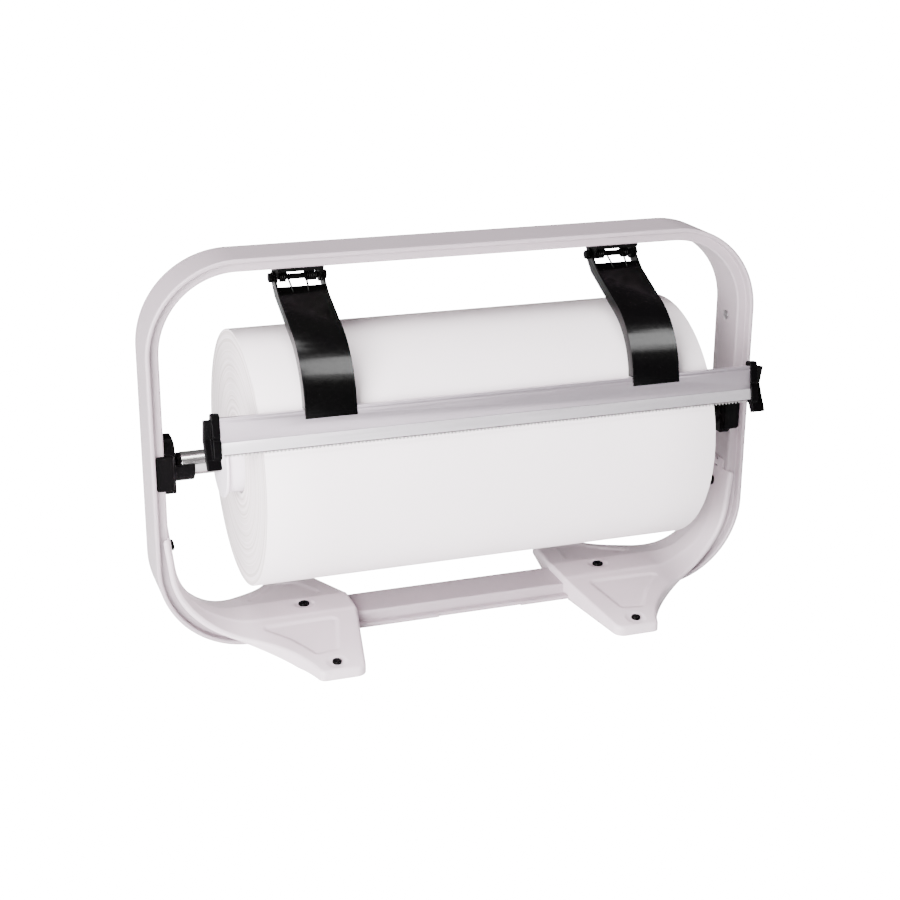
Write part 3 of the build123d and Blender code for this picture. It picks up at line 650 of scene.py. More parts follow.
@dataclass(frozen=True)
class WoundPaper(Finish):
    """White paper whose cut edges show as rings on the roll's ends.

    Attributes:
        edge_tone: Colour of the darkest turns at the ends.
        pitch: Scale of the rings from the axis outwards.
        ring_relief: Height of the rings, as a multiple of the grain's.
    """

    edge_tone: Triple = (0.5, 0.43, 0.41)
    pitch: float = 260.0
    ring_relief: float = 6.0

    def detail(
        self, wiring: Wiring, effects: Effects, color: bpy.types.NodeSocket, height: bpy.types.NodeSocket
    ) -> tuple[bpy.types.NodeSocket, bpy.types.NodeSocket]:
        """Add the rings of the wound layers to the ends."""
        layers = wiring.add("ShaderNodeGroup", node_tree=effects.layers)
        layers.inputs["Pitch"].default_value = self.pitch
        layers.inputs["End"].default_value = ROLL_HALF * MM
        deep = wiring.add(
            "ShaderNodeMapRange",
            {"Value": layers.outputs["Rings"], "From Min": 0.62, "From Max": 0.3, "To Min": 0.0, "To Max": 0.75},
        )
        weight = wiring.math("MULTIPLY", deep.outputs[0], layers.outputs["On End"])
        ringed = wiring.add("ShaderNodeMix", {0: weight, 6: color, 7: (*self.edge_tone, 1)}, data_type="RGBA")
        on_rings = wiring.math("MULTIPLY", layers.outputs["Rings"], layers.outputs["On End"])
        raised = wiring.math("ADD", height, wiring.math("MULTIPLY", on_rings, self.ring_relief))
        return ringed.outputs[2], raised


@dataclass(frozen=True)
class CutterMetal(Finish):
    """Metal of the cutter whose tone changes at one height up the rail's face; on the blade the dark tone there is
    painted shadow.

    Attributes:
        other_tone: Colour on the far side of that height; on the blade it is painted shadow of the rail.
        change: The height above the rail's lower edge, in metres.
        above: Whether the far side is above it.
        lower_edge: Place of that edge, in metres.
        tilt: Tilt of the rail, in degrees.
    """

    other_tone: Triple = (1.0, 0.94, 1.0)
    change: float = 0.0117
    above: bool = False
    lower_edge: Triple = (0.0, -0.1323, 0.266)
    tilt: float = 10.0

    def detail(
        self, wiring: Wiring, effects: Effects, color: bpy.types.NodeSocket, height: bpy.types.NodeSocket
    ) -> tuple[bpy.types.NodeSocket, bpy.types.NodeSocket]:
        """Change the tone at the height."""
        place = wiring.add("ShaderNodeTexCoord").outputs["Object"]
        from_edge = wiring.add("ShaderNodeVectorMath", {0: place, 1: self.lower_edge}, operation="SUBTRACT")
        up = (0.0, math.sin(math.radians(self.tilt)), math.cos(math.radians(self.tilt)))
        rise = wiring.add("ShaderNodeVectorMath", {0: from_edge.outputs[0], 1: up}, operation="DOT_PRODUCT")
        beyond = wiring.math("GREATER_THAN" if self.above else "LESS_THAN", rise.outputs["Value"], self.change)
        changed = wiring.add("ShaderNodeMix", {0: beyond, 6: color, 7: (*self.other_tone, 1)}, data_type="RGBA")
        return changed.outputs[2], height


FINISHES: tuple[Finish, ...] = (
    Finish("hoop_paint", (0.395, 0.33, 0.365), (0.38, 0.315, 0.35), (0.34, 0.46), 520, relief=0.00002, specks=0.05),
    Finish("foot_paint", (0.62, 0.53, 0.58), (0.6, 0.51, 0.555), (0.36, 0.48), 480, relief=0.00003, specks=0.05),
    Finish("pad_rubber", (0.02, 0.02, 0.02), (0.03, 0.03, 0.03), (0.7, 0.9), 900, relief=0.00005),
    Finish("plated_steel", (0.5, 0.48, 0.5), (0.42, 0.4, 0.42), (0.25, 0.4), 800, metallic=1.0, drift=60),
    Finish("black_plastic", (0.001, 0.0008, 0.001), (0.0015, 0.0012, 0.0015), (0.3, 0.42), 1500, specular=0.04),
    WoundPaper("paper", (0.9, 0.82, 0.85), (0.88, 0.8, 0.83), (0.8, 0.95), 700, relief=0.00003, specular=0.2),
    Finish("core_board", (0.74, 0.7, 0.7), (0.66, 0.62, 0.6), (0.85, 0.95), 500, relief=0.00006),
    Finish("shaft_steel", (0.62, 0.6, 0.6), (0.5, 0.48, 0.48), (0.16, 0.28), 700, (0.06, 1, 1), metallic=1.0),
    Finish("hub_plastic", (0.8, 0.73, 0.8), (0.78, 0.71, 0.78), (0.38, 0.48), 900, relief=0.00001),
    Finish(
        "black_steel",
        (0.001, 0.001, 0.001),
        (0.0015, 0.0015, 0.0015),
        (0.24, 0.36),
        700,
        relief=0.00001,
        specular=0.05,
    ),
    Finish(
        "arm_gloss",
        (0.0004, 0.0003, 0.0004),
        (0.0005, 0.0005, 0.0005),
        (0.17, 0.23),
        260,
        relief=0.00001,
        specular=0.1,
    ),
    CutterMetal(
        "rail_aluminium",
        (0.56, 0.49, 0.555),
        (0.53, 0.465, 0.525),
        (0.3, 0.42),
        900,
        (0.012, 1, 1),
        metallic=0.85,
    ),
    # The blade's dark band just under the rail's lower edge is painted shadow of the rail, not a mark on the steel.
    CutterMetal(
        "blade_steel",
        (0.66, 0.64, 0.64),
        (0.56, 0.54, 0.54),
        (0.22, 0.4),
        1200,
        (1, 0.1, 0.1),
        metallic=1.0,
        other_tone=(0.1, 0.07, 0.075),
        change=-0.0012,
        above=True,
    ),
)


# ---------------------------------------------------------------- pieces
class Workshop:
    """Makes finished pieces: gives each its material and body, and hides the nodes that it stands for."""

    def __init__(self) -> None:
        """Build the finishes."""
        effects = Effects()
        self.finishes = {finish.name: finish.build(effects) for finish in FINISHES}
        self.copies = self._copies_tree()

    def finish(self, piece: bpy.types.Object, nodes: Sequence[str], body: Body, slot: str) -> bpy.types.Object:
        """Dress a piece, hang it on its body and hide the nodes that it stands for.

        Args:
            piece: The piece.
            nodes: Construction nodes that it stands for.
            body: The body that it rides on.
            slot: The record's material slot.

        Returns:
            The piece.
        """
        piece.data.materials.clear()
        piece.data.materials.append(self.finishes[slot])
        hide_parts(*nodes)
        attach(piece, body.value)
        LOG.info("%s stands for %s", piece.name, ", ".join(nodes))
        return piece

    def softened(
        self, node: str, body: Body, slot: str, width: float, segments: int = 3, angle: float = 28.0
    ) -> bpy.types.Object:
        """Make a piece from a node's own form, with its edges rounded as a moulder or press leaves them.

        Args:
            node: The node.
            body: The body that it rides on.
            slot: The record's material slot.
            width: Width of the rounding, in millimetres.
            segments: Steps across it.
            angle: Edges sharper than this, in degrees, are rounded.

        Returns:
            The piece.
        """
        piece = linked(f"{node}_piece", clean_copy(node))
        bevel = piece.modifiers.new("rounding", "BEVEL")
        bevel.width = width * MM
        bevel.segments = segments
        bevel.limit_method = "ANGLE"
        bevel.angle_limit = math.radians(angle)
        bevel.harden_normals = True
        return self.finish(piece, [node], body, slot)

    def moulded(self, node: str, body: Body, slot: str, grain: float, rounds: int) -> bpy.types.Object:
        """Make a piece from a node's own form, with every edge rounded off as in a mould.

        Args:
            node: The node.
            body: The body that it rides on.
            slot: The record's material slot.
            grain: Size of the faces that it is made anew from, in millimetres.
            rounds: Passes of smoothing.

        Returns:
            The piece.
        """
        blank = linked(f"{node}_blank", clean_copy(node))
        anew = blank.modifiers.new("anew", "REMESH")
        anew.mode = "VOXEL"
        anew.voxel_size = grain * MM
        smooth = blank.modifiers.new("smooth", "SMOOTH")
        smooth.factor = 0.5
        smooth.iterations = rounds
        mesh = baked(blank, f"{node}_moulding")
        mesh.shade_smooth()
        return self.finish(linked(f"{node}_moulding", mesh), [node], body, slot)

    def even_normals(self, piece: bpy.types.Object) -> None:
        """Keep large flat faces flat where they meet small roundings."""
        piece.modifiers.new("even_normals", "WEIGHTED_NORMAL").keep_sharp = True

    def _copies_tree(self) -> bpy.types.NodeTree:
        """Build the tree that sets copies of one item on points, each facing its own way.

        Returns:
            The tree.
        """
        tree = bpy.data.node_groups.new("seated_copies", "GeometryNodeTree")
        for label, kind in (
            ("Seats", "NodeSocketGeometry"),
            ("Item", "NodeSocketObject"),
            ("Finish", "NodeSocketMaterial"),
        ):
            tree.interface.new_socket(label, in_out="INPUT", socket_type=kind)
        tree.interface.new_socket("Fasteners", in_out="OUTPUT", socket_type="NodeSocketGeometry")
        wiring = Wiring(tree)
        source = wiring.add("NodeGroupInput")
        sink = wiring.add("NodeGroupOutput")
        item = wiring.add("GeometryNodeObjectInfo", {"Object": source.outputs["Item"]})
        facing = wiring.add("GeometryNodeInputNamedAttribute", {"Name": "facing"}, data_type="FLOAT_VECTOR")
        turn = wiring.add("FunctionNodeAlignRotationToVector", {"Vector": facing.outputs["Attribute"]}, axis="Z")
        copies = wiring.add(
            "GeometryNodeInstanceOnPoints",
            {
                "Points": source.outputs["Seats"],
                "Instance": item.outputs["Geometry"],
                "Rotation": turn.outputs["Rotation"],
            },
        )
        real = wiring.add("GeometryNodeRealizeInstances", {"Geometry": copies.outputs[0]})
        dressed = wiring.add(
            "GeometryNodeSetMaterial", {"Geometry": real.outputs[0], "Material": source.outputs["Finish"]}
        )
        wiring.link(dressed.outputs[0], sink.inputs[0])
        return tree

    def set_copies(
        self, name: str, item: bpy.types.Mesh, seats: Sequence["Seat"], node: str, body: Body, slot: str
    ) -> bpy.types.Object:
        """Make one piece of equal fasteners, set at their seats.

        Args:
            name: The piece's name.
            item: One fastener, standing on the origin.
            seats: Where each goes.
            node: The node that they stand for.
            body: The body that they ride on.
            slot: The record's material slot.

        Returns:
            The piece.
        """
        model = linked(f"{name}_model", item)
        points = bpy.data.meshes.new(f"{name}_seats")
        points.from_pydata([[c * MM for c in seat.place] for seat in seats], [], [])
        facing = points.attributes.new("facing", "FLOAT_VECTOR", "POINT")
        for k, seat in enumerate(seats):
            facing.data[k].vector = Vector(seat.facing).normalized()
        carrier = linked(f"{name}_carrier", points)
        setter = carrier.modifiers.new("copies", "NODES")
        setter.node_group = self.copies
        sockets = {s.name: s.identifier for s in self.copies.interface.items_tree if s.in_out == "INPUT"}
        setter[sockets["Item"]] = model
        setter[sockets["Finish"]] = self.finishes[slot]
        mesh = baked(carrier, name)
        bpy.data.objects.remove(model)
        mesh.shade_smooth()
        return self.finish(linked(name, mesh), [node], body, slot)


@dataclass(frozen=True)
class Seat:
    """Where a fastener's head sits.

    Attributes:
        place: The seat, in millimetres.
        facing: The way its head faces.
    """

    place: Triple
    facing: Triple

    def mirrored(self) -> "Seat":
        """The same seat on the other side of the roll's middle."""
        x, y, z = self.place
        a, b, c = self.facing
        return Seat((-x, y, z), (-a, b, c))


@dataclass(frozen=True)
class PanHead:
    """A domed screw head with a crossed recess, on a short shank.

    Attributes:
        radius: Radius of the head.
        height: Height of the head.
        shank: Radius of the shank.
        length: Length of the shank.
        recess: Depth of the crossed recess.
    """

    radius: float
    height: float
    shank: float
    length: float
    recess: float

    def mesh(self, name: str, around: int = 64, rings: int = 22) -> bpy.types.Mesh:
        """Model the screw, standing on the origin.

        Args:
            name: The mesh's name.
            around: Points in each ring.
            rings: Rings over the head's top.

        Returns:
            The mesh.
        """
        points: list[Triple] = []
        for i in range(rings):
            share = (i + 1) / rings
            reach = self.radius * math.sin(share * math.pi / 2)
            crown = self.height * (0.35 + 0.65 * math.cos(share * math.pi / 2) ** 0.75)
            for j in range(around):
                angle = 2 * math.pi * j / around
                x, y = reach * math.cos(angle), reach * math.sin(angle)
                points.append((x, y, crown - self.recess * self._cross(x, y)))
        for reach, rise in (
            (self.radius, 0.15 * self.height),
            (self.radius * 0.97, 0.0),
            (self.shank, 0.0),
            (self.shank, -self.length),
        ):
            for j in range(around):
                angle = 2 * math.pi * j / around
                points.append((reach * math.cos(angle), reach * math.sin(angle), rise))
        total = rings + 4
        faces: list[Sequence[int]] = list(ring_faces(total, around, closed=False))
        middle = len(points)
        points.append((0, 0, self.height - self.recess))
        for j in range(around):
            faces.append((middle, j, (j + 1) % around))
        faces.append([(total - 1) * around + j for j in reversed(range(around))])
        return mesh_of(name, points, faces)

    def _cross(self, x: float, y: float) -> float:
        """How deep the crossed recess is at a point of the head, from 0 to 1."""
        width, length = 0.17 * self.radius, 0.62 * self.radius
        deep = 0.0
        for u, v in ((abs(x), abs(y)), (abs(y), abs(x))):
            across = min(max((width - v) / (0.5 * width) + 0.5, 0), 1)
            along = min(max((length - u) / (0.35 * length), 0), 1)
            deep = max(deep, across * along)
        return deep


@dataclass
class HoopFrame:
    """The closed hoop: a hollow bar with a thin lip that stands forward of it.

    Attributes:
        half_width: Half the hoop's width.
        bottom: Height of its lowest face.
        top: Height of its highest face.
        corner: Radius of its corners.
        depth: Depth of the lip from front to back.
        lip: Thickness of the lip.
        bar: Thickness of the bar from the hoop's outside.
        bar_front: Front of the bar.
        bar_back: Back of the bar.
        notch: Ends of the cut in the lip under the bottom bar.
        notch_depth: Depth of that cut.
        notch_end: Length over which the cut starts and ends.
        lip_zone: How far behind the lip's front the cut moves points.
        steps: Segments in each corner.
    """

    half_width: float = 347.4
    bottom: float = 7.2
    top: float = 437.6
    corner: float = 100.0
    depth: float = 64.0
    lip: float = 5.0
    bar: float = 15.9
    bar_front: float = -21.7
    bar_back: float = 29.8
    notch: tuple[float, float] = (-31.0, 69.0)
    notch_depth: float = 2.0
    notch_end: float = 0.4
    lip_zone: float = 3.0
    steps: int = 56

    def build(self, shop: Workshop) -> None:
        """Sweep the bar's section round the hoop.

        Args:
            shop: The workshop that finishes the piece.
        """
        front, back = -self.depth / 2, self.depth / 2
        section = rounded(
            [
                (0, front, 2.2),
                (self.lip, front, 2.2),
                (self.lip, self.bar_front, 1.2),
                (self.bar, self.bar_front, 2.5),
                (self.bar, self.bar_back, 1.5),
                (self.lip, self.bar_back, 0.6),
                (self.lip, back, 1.0),
                (0, back, 1.4),
            ],
            8,
        )
        points = []
        stations = list(self._stations())
        for (x, z), (nx, nz), notched in stations:
            for inset, y in section:
                shift = self.notch_depth if notched and y < front + self.lip_zone else 0
                points.append((x - nx * inset, y + shift, z - nz * inset))
        mesh = mesh_of("frame_hoop_form", points, ring_faces(len(stations), len(section)))
        piece = linked("hoop_bar", mesh)
        shop.even_normals(piece)
        shop.finish(piece, ["frame_hoop"], Body.STAND, "hoop_paint")

    def _stations(self) -> Iterable[tuple[Point, Point, bool]]:
        """Walk round the hoop's outside.

        Yields:
            A point, the way outwards from it, and whether the lip is cut there.
        """
        x, low, high = self.half_width - self.corner, self.bottom + self.corner, self.top - self.corner
        for middle, start in (((x, low), -90), ((x, high), 0), ((-x, high), 90), ((-x, low), 180)):
            for k in range(self.steps + 1):
                angle = math.radians(start + 90 * k / self.steps)
                way = (math.cos(angle), math.sin(angle))
                yield (middle[0] + way[0] * self.corner, middle[1] + way[1] * self.corner), way, False
        for place, cut in (
            (self.notch[0] - self.notch_end, False),
            (self.notch[0], True),
            (self.notch[1], True),
            (self.notch[1] + self.notch_end, False),
        ):
            yield (place, self.bottom), (0, -1), cut


@dataclass
class StampedFoot:
    """A foot pressed from sheet: a spine, two sloping toes and a tail up the hoop's corner.

    The foot is worked out flat, as distance along its spine and across it, and then bent
    about the hoop's corner. Distances along it start at the corner's middle.

    Attributes:
        corner_x: The corner's middle from the roll's middle.
        corner_z: Height of the corner's middle.
        bend: Radius of the spine's bend round the corner.
        flange: Depth of the tail's flanges.
        sheet: Thickness of the sheet.
        inner: Where the foot starts, nearest the roll's middle.
        spine_half: Half the width of the spine.
        slope: Slope of the toes, in degrees.
        toe_reach: How far the toes reach to the front and back.
        toe_inner: Inner corner of a toe's end.
        toe_outer: Outer corner of a toe's end.
        toe_round: Rounding of that corner.
        toe_inner_round: Rounding of the inner corner.
        waist: Where the flare turns, along and across.
        flare_end: Where the flare would end beyond the tail.
        flare_depth: Depth under the spine at which the flare is drawn.
        tail_front: Half width of the tail in front.
        tail_back: Half width of the tail at the back.
        tip: Place of the tail's tip from the corner's middle, outwards and up.
        shoulder: Height of the tail's shoulders above the corner's middle.
        shoulder_round: Rounding of the walls' lower edge at the shoulders.
        tongue_half: Half the width of the tongue above them.
        slots: Heights of the tongue's two slots above the corner's middle.
        slot_half: Half a slot's height and width.
        slot_round: Rounding of a slot's corners.
        rim: Radius of the rounded rim.
        clearance: Height of the walls' lower edge above the counter.
        gusset: Where the walls' lower edge starts to rise.
        skirt: Rise of the lower edge near the hoop, and where it ends.
        hoop_cut: Front and back of the hoop's bar and of its lip, with clearance.
        hoop_tops: Heights of the bar and of the lip, with clearance.
        hoop_pass: How far out from a toe's inner corner the walls make way for the hoop.
        recess: Corners of the pressed recess in a toe, and their roundings.
        recess_edge: Width of its soft edge.
        recess_depth: Its depth.
        ridge_half: Half the distance between the two ridges, where they have drawn in over the corner.
        ridge_run: Where the ridges start to draw in, and where they have.
        ridge_close: How much further they draw in up the tail.
        ridge_close_run: Where that starts and ends.
        ridge_soft: How softly the top falls away beyond a ridge.
        ridge_step: Depth of the small step beyond a ridge, how far beyond it is, and its softness.
        dish: Radius of the dish round each screw, and of its flat floor.
        dish_depth: Its depth.
        toe_screw: Place of a toe's screw.
        spine_screw: Place of the spine's screw.
        grid: Spacing of the points inside the outline.
        row: Spacing of their rows, as a share of that.
        edge_gap: Least distance of these points from the outline.
        slot_gap: Least distance from a slot.
    """

    corner_x: float = 247.4
    corner_z: float = 107.2
    bend: float = 76.2
    flange: float = 10.3
    sheet: float = 2.0
    inner: float = -122.4
    spine_half: float = 21.0
    slope: float = 9.63
    toe_reach: float = 131.0
    toe_inner: float = -100.9
    toe_outer: float = -51.4
    toe_round: float = 8.0
    toe_inner_round: float = 12.0
    waist: Point = (-17.4, 75.0)
    flare_end: float = 111.0
    flare_depth: float = 4.0
    tail_front: float = 25.2
    tail_back: float = 33.2
    tip: Point = (82.0, 44.8)
    shoulder: float = 32.8
    shoulder_round: float = 4.0
    tongue_half: float = 13.0
    slots: Point = (33.8, 41.8)
    slot_half: Point = (0.8, 3.0)
    slot_round: float = 0.7
    rim: float = 3.6
    clearance: float = 1.0
    gusset: float = -41.4
    skirt: Point = (6.0, 34.0)
    hoop_cut: tuple[float, float, float, float] = (-21.9, 30.0, -32.2, 32.2)
    hoop_tops: Point = (23.3, 12.4)
    hoop_pass: float = 20.0
    recess: tuple[Triple, ...] = (
        (-99.0, 31.0, 9.0),
        (-0.5, 32.5, 7.0),
        (-34.0, 66.0, 40.0),
        (-54.0, 100.0, 9.0),
        (-82.4, 96.0, 9.0),
    )
    recess_edge: float = 6.0
    recess_depth: float = 1.5
    ridge_half: float = 12.0
    ridge_run: Point = (-5.0, 40.0)
    ridge_close: float = 6.5
    ridge_close_run: Point = (55.0, 95.0)
    ridge_soft: float = 2.4
    ridge_step: Triple = (0.7, 2.0, 0.9)
    dish: Point = (12.5, 7.5)
    dish_depth: float = 1.4
    toe_screw: Point = (-72.7, 115.5)
    spine_screw: Point = (-67.4, 4.0)
    grid: float = 1.9
    row: float = 0.866
    edge_gap: float = 0.9
    slot_gap: float = 0.7
    top: float = field(init=False)
    turn: float = field(init=False)
    along: float = field(init=False)

    def __post_init__(self) -> None:
        """Work out the height of the spine and the tail's bend."""
        self.top = self.corner_z - self.bend
        far = math.hypot(*self.tip)
        self.turn = math.pi / 2 + math.atan2(self.tip[1], self.tip[0]) - math.acos(self.bend / far)
        self.along = self.bend * self.turn

    def build(self, shop: Workshop) -> None:
        """Make both feet.

        Args:
            shop: The workshop that finishes the pieces.
        """
        points, faces = self._skin()
        for side, node in ((1, "right_foot"), (-1, "left_foot")):
            placed = [(side * (self.corner_x + x), y, z) for x, y, z in points]
            mesh = mesh_of(f"{node}_form", placed, faces)
            self._face_up(mesh)
            piece = linked(f"{node}_pressing", mesh)
            wall = piece.modifiers.new("sheet", "SOLIDIFY")
            wall.thickness = self.sheet * MM
            wall.offset = -1
            shop.finish(piece, [node], Body.STAND, "foot_paint")

    def _face_up(self, mesh: bpy.types.Mesh) -> None:
        """Turn an open skin's faces so that its top faces away from the counter."""
        best = max(mesh.polygons, key=lambda face: abs(face.normal.z) * face.area)
        if best.normal.z < 0:
            mesh.flip_normals()

    def _flare(self, side: int) -> Callable[[float], float]:
        """Give the tail's half width at a distance outwards, up to the waist.

        Args:
            side: -1 in front, 1 at the back.

        Returns:
            A function from the distance outwards to the half width.
        """
        depth = self.tail_front if side < 0 else self.tail_back
        run, rise = self.flare_end - self.waist[0], self.waist[1] - depth
        radius = (run * run + rise * rise) / (2 * rise)
        return lambda x: depth + radius - math.sqrt(max(radius**2 - (self.flare_end - x) ** 2, 0))

    def _outwards(self, s: float, h: float) -> float:
        """Distance outwards of the point at s along the spine and h under it."""
        if s <= 0:
            return s
        if s <= self.along:
            return (self.bend + h) * math.sin(s / self.bend)
        return (self.bend + h) * math.sin(self.turn) + (s - self.along) * math.cos(self.turn)

    def _bent(self, s: float, y: float, h: float) -> Triple:
        """Place a worked-out point: s along the spine, y across, h under it."""
        if s <= 0:
            return s, y, self.top - h
        angle = min(s / self.bend, self.turn)
        rest = max(s - self.along, 0)
        x = (self.bend + h) * math.sin(angle) + rest * math.cos(self.turn)
        z = self.corner_z - (self.bend + h) * math.cos(angle) + rest * math.sin(self.turn)
        return x, y, z

    def _s_at(self, rise: float) -> float:
        """Distance along the tail at a height above the corner's middle."""
        return self.along + (rise + self.bend * math.cos(self.turn)) / math.sin(self.turn)

    def _edge(self) -> list[tuple[float, float, int]]:
        """Walk the walled edge, from the front shoulder round both toes to the back shoulder.

        Returns:
            Distance along, distance across, and the flare's side where the edge is a flare, or 0.
        """
        edge: list[tuple[float, float, int]] = []
        shoulder = self._s_at(self.shoulder)
        for side in (-1, 1):
            half = self._flare(side)
            part: list[tuple[float, float, int]] = []
            reach = [shoulder + (self.waist[0] - shoulder) * k / 130 for k in range(130)]
            for s in reach:
                part.append((s, side * half(self._outwards(s, self.flare_depth)), side))
            toe = self._toe_edge(half)
            part += [(x, side * y, 0) for x, y in toe]
            for x, y in rounded(
                [
                    (self.toe_outer, self.toe_reach, self.toe_round),
                    (self.toe_inner, self.toe_reach, self.toe_inner_round),
                    (self.inner, self.spine_half, 0),
                    (*toe[-1], 0),
                ],
                12,
            )[:-2]:
                part.append((x, side * y, 0))
            edge += self._inner_edge(part, side)
        return edge

    def _toe_edge(self, half: Callable[[float], float]) -> Outline:
        """Points of the toe's outer edge, from the waist to its end.

        Args:
            half: The flare's half width.

        Returns:
            The points, for the back toe.
        """
        x, y = self.waist
        step = 0.5
        way = Vector((-step, half(x) - half(x + step))).normalized()
        chord = Vector((self.toe_outer - x, self.toe_reach - y))
        swing = way.angle_signed(chord)
        radius = chord.length / (2 * math.sin(abs(swing)))
        count = 36
        points = []
        for k in range(count):
            share = k / count
            reach = 2 * radius * math.sin(abs(swing) * share)
            spoke = Matrix.Rotation(-swing * share, 2) @ way
            points.append((x + spoke.x * reach, y + spoke.y * reach))
        return [p for p in points if p[1] < self.toe_reach - self.toe_round]

    def _inner_edge(self, part: list[tuple[float, float, int]], side: int) -> list[tuple[float, float, int]]:
        """Add the inner edge of one half, with extra points where the hoop passes, and put it in order.

        Args:
            part: The half's points, from the shoulder to the toe's inner corner.
            side: -1 in front, 1 at the back.

        Returns:
            The half's points, in the edge's order.
        """
        count, spine_count = 40, 8
        x0, y0 = part[-1][:2]
        x1, y1 = self.inner, side * self.spine_half
        for k in range(1, count):
            part.append((x0 + (x1 - x0) * k / count, y0 + (y1 - y0) * k / count, 0))
        cuts = [c for c in self.hoop_cut if c * side > 0]
        for cut in cuts:
            share = (cut - y0) / (y1 - y0)
            for nudge in (-0.12, 0.12):
                if 0 < share < 1:
                    part.append((x0 + (x1 - x0) * share, cut + nudge, 0))
        part.append((x1, y1, 0))
        added = count + 2 * len(cuts)
        part = part[:-added] + sorted(part[-added:], key=lambda p: -side * p[1])
        part += [(self.inner, side * self.spine_half * (1 - k / spine_count), 0) for k in range(1, spine_count)]
        if side < 0:
            return part + [(self.inner, 0.0, 0)]
        return part[::-1]

    def _under(self, s: np.ndarray, y: np.ndarray) -> np.ndarray:
        """Depth of the pressed top under the spine's level.

        Args:
            s: Distances along the spine.
            y: Distances across it.

        Returns:
            The depths, before the rim's rounding.
        """
        ridge = self.spine_half + (self.ridge_half - self.spine_half) * eased(s, *self.ridge_run)
        ridge = ridge - self.ridge_close * eased(s, *self.ridge_close_run)
        beyond = np.abs(y) - ridge
        fall = math.tan(math.radians(self.slope)) * self.ridge_soft
        drop, away, soft = self.ridge_step
        depth = fall * np.logaddexp(0, beyond / self.ridge_soft) + drop / (1 + np.exp(-(beyond - away) / soft))
        for side in (-1, 1):
            corners = [(x, side * v, r) for x, v, r in self.recess]
            near = self._inside(s, y, rounded(corners, 8))
            depth = depth + self.recess_depth * eased(near, 0.0, self.recess_edge)
            depth = depth + self._dish(s, y, self.toe_screw[0], side * self.toe_screw[1])
        return depth + self._dish(s, y, *self.spine_screw)

    def _dish(self, s: np.ndarray, y: np.ndarray, x0: float, y0: float) -> np.ndarray:
        """Depth of the round dish about a screw."""
        return self.dish_depth * eased(np.hypot(s - x0, y - y0), *self.dish)

    def _inside(self, s: np.ndarray, y: np.ndarray, outline: Outline) -> np.ndarray:
        """How far points lie inside a closed outline, and less than 0 outside it.

        Args:
            s: First coordinates.
            y: Second coordinates.
            outline: The outline.

        Returns:
            The signed distances.
        """
        ring = np.array(outline)
        following = np.roll(ring, -1, axis=0)
        near = np.full(s.shape, 1e9)
        odd = np.zeros(s.shape, dtype=bool)
        for (ax, ay), (bx, by) in zip(ring, following):
            dx, dy = bx - ax, by - ay
            length = dx * dx + dy * dy
            if length < 1e-12:
                continue
            t = np.clip(((s - ax) * dx + (y - ay) * dy) / length, 0, 1)
            near = np.minimum(near, np.hypot(s - ax - t * dx, y - ay - t * dy))
            if ay != by:
                odd ^= ((ay > y) != (by > y)) & (s < dx * (y - ay) / dy + ax)
        return np.where(odd, near, -near)

    def _lowest(self, s: float, y: float) -> float:
        """Depth of the walls' lower edge under the spine's level at a point of the edge."""
        reach = self.bend + self.flange
        away = math.hypot(self.gusset, self.corner_z - self.clearance)
        touch = math.atan2(self.clearance - self.corner_z, self.gusset) + math.acos(reach / away)
        nx, nz = math.cos(touch), math.sin(touch)
        near_hoop = max(0.0, (self.toe_reach - abs(y)) / (self.toe_reach - self.skirt[1]))
        floor = self.clearance + self.skirt[0] * min(near_hoop, 1.0)
        if s < self.gusset:
            low = self.top - floor
        elif s <= 0:
            low = min((reach - nx * s) / -nz - self.bend, self.top - floor)
        else:
            angle = s / self.bend
            low = self.flange
            if angle < touch + math.pi / 2:
                low = reach / (nx * math.sin(angle) - nz * math.cos(angle)) - self.bend
        if s < self.toe_inner + self.hoop_pass:
            front, back, lip_front, lip_back = self.hoop_cut
            if front < y < back:
                low = min(low, self.top - self.hoop_tops[0])
            elif lip_front < y < lip_back:
                low = min(low, self.top - self.hoop_tops[1])
        return low

    def _skin(self) -> tuple[list[Triple], list[Sequence[int]]]:
        """Work out the foot's outer skin.

        Returns:
            Its points about the hoop's corner, and its faces.
        """
        edge = self._edge()
        flat = np.array([(s, y) for s, y, _ in edge])
        ways = self._inward_ways(flat)
        count = len(edge)
        turns = 6
        rings: list[list[Triple]] = []
        for k in range(turns + 1):
            angle = math.pi / 2 * k / turns
            inset = self.rim * (1 - math.sin(angle))
            spot = flat + ways * inset
            depth = self._under(spot[:, 0], spot[:, 1]) + self.rim * (1 - math.cos(angle))
            rings.append([(spot[i, 0], spot[i, 1], depth[i]) for i in range(count)])
        rim = rings[-1]
        shoulder, turn = self._s_at(self.shoulder), self.shoulder_round
        for k in range(1, 6):
            ring = []
            for (s, y, h), (_, _, side) in zip(rim, edge):
                low = self._lowest(s, y)
                if s > shoulder - turn:
                    low -= turn - math.sqrt(max(turn**2 - (s - shoulder + turn) ** 2, 0))
                deep = h + (max(low, h + 0.3) - h) * k / 5
                if side:
                    y = side * self._flare(side)(self._outwards(s, deep))
                ring.append((s, y, deep))
            rings.append(ring)
        points = [self._bent(*p) for ring in rings for p in ring]
        faces: list[Sequence[int]] = []
        for k in range(len(rings) - 1):
            for i in range(count - 1):
                a, b = k * count + i, (k + 1) * count + i
                faces.append((a, b, b + 1, a + 1))
        inner = [(s, y) for s, y, _ in rings[0]]
        top = self._tongue(inner[-1], inner[0])
        slots = self._slots()
        outline = inner + top
        loops = [list(range(len(outline)))]
        flat_points = list(outline)
        for slot in slots:
            loops.append(list(range(len(flat_points), len(flat_points) + len(slot))))
            flat_points += slot
        flat_points += self._filling(outline, slots)
        verts, _, tris, origins, _, _ = delaunay_2d_cdt([Vector(p) for p in flat_points], [], loops, 2, 1e-6)
        spots = np.array([(v.x, v.y) for v in verts])
        depth = self._under(spots[:, 0], spots[:, 1])
        number = {}
        for i, source in enumerate(origins):
            first = source[0] if source else None
            if first is not None and first < count:
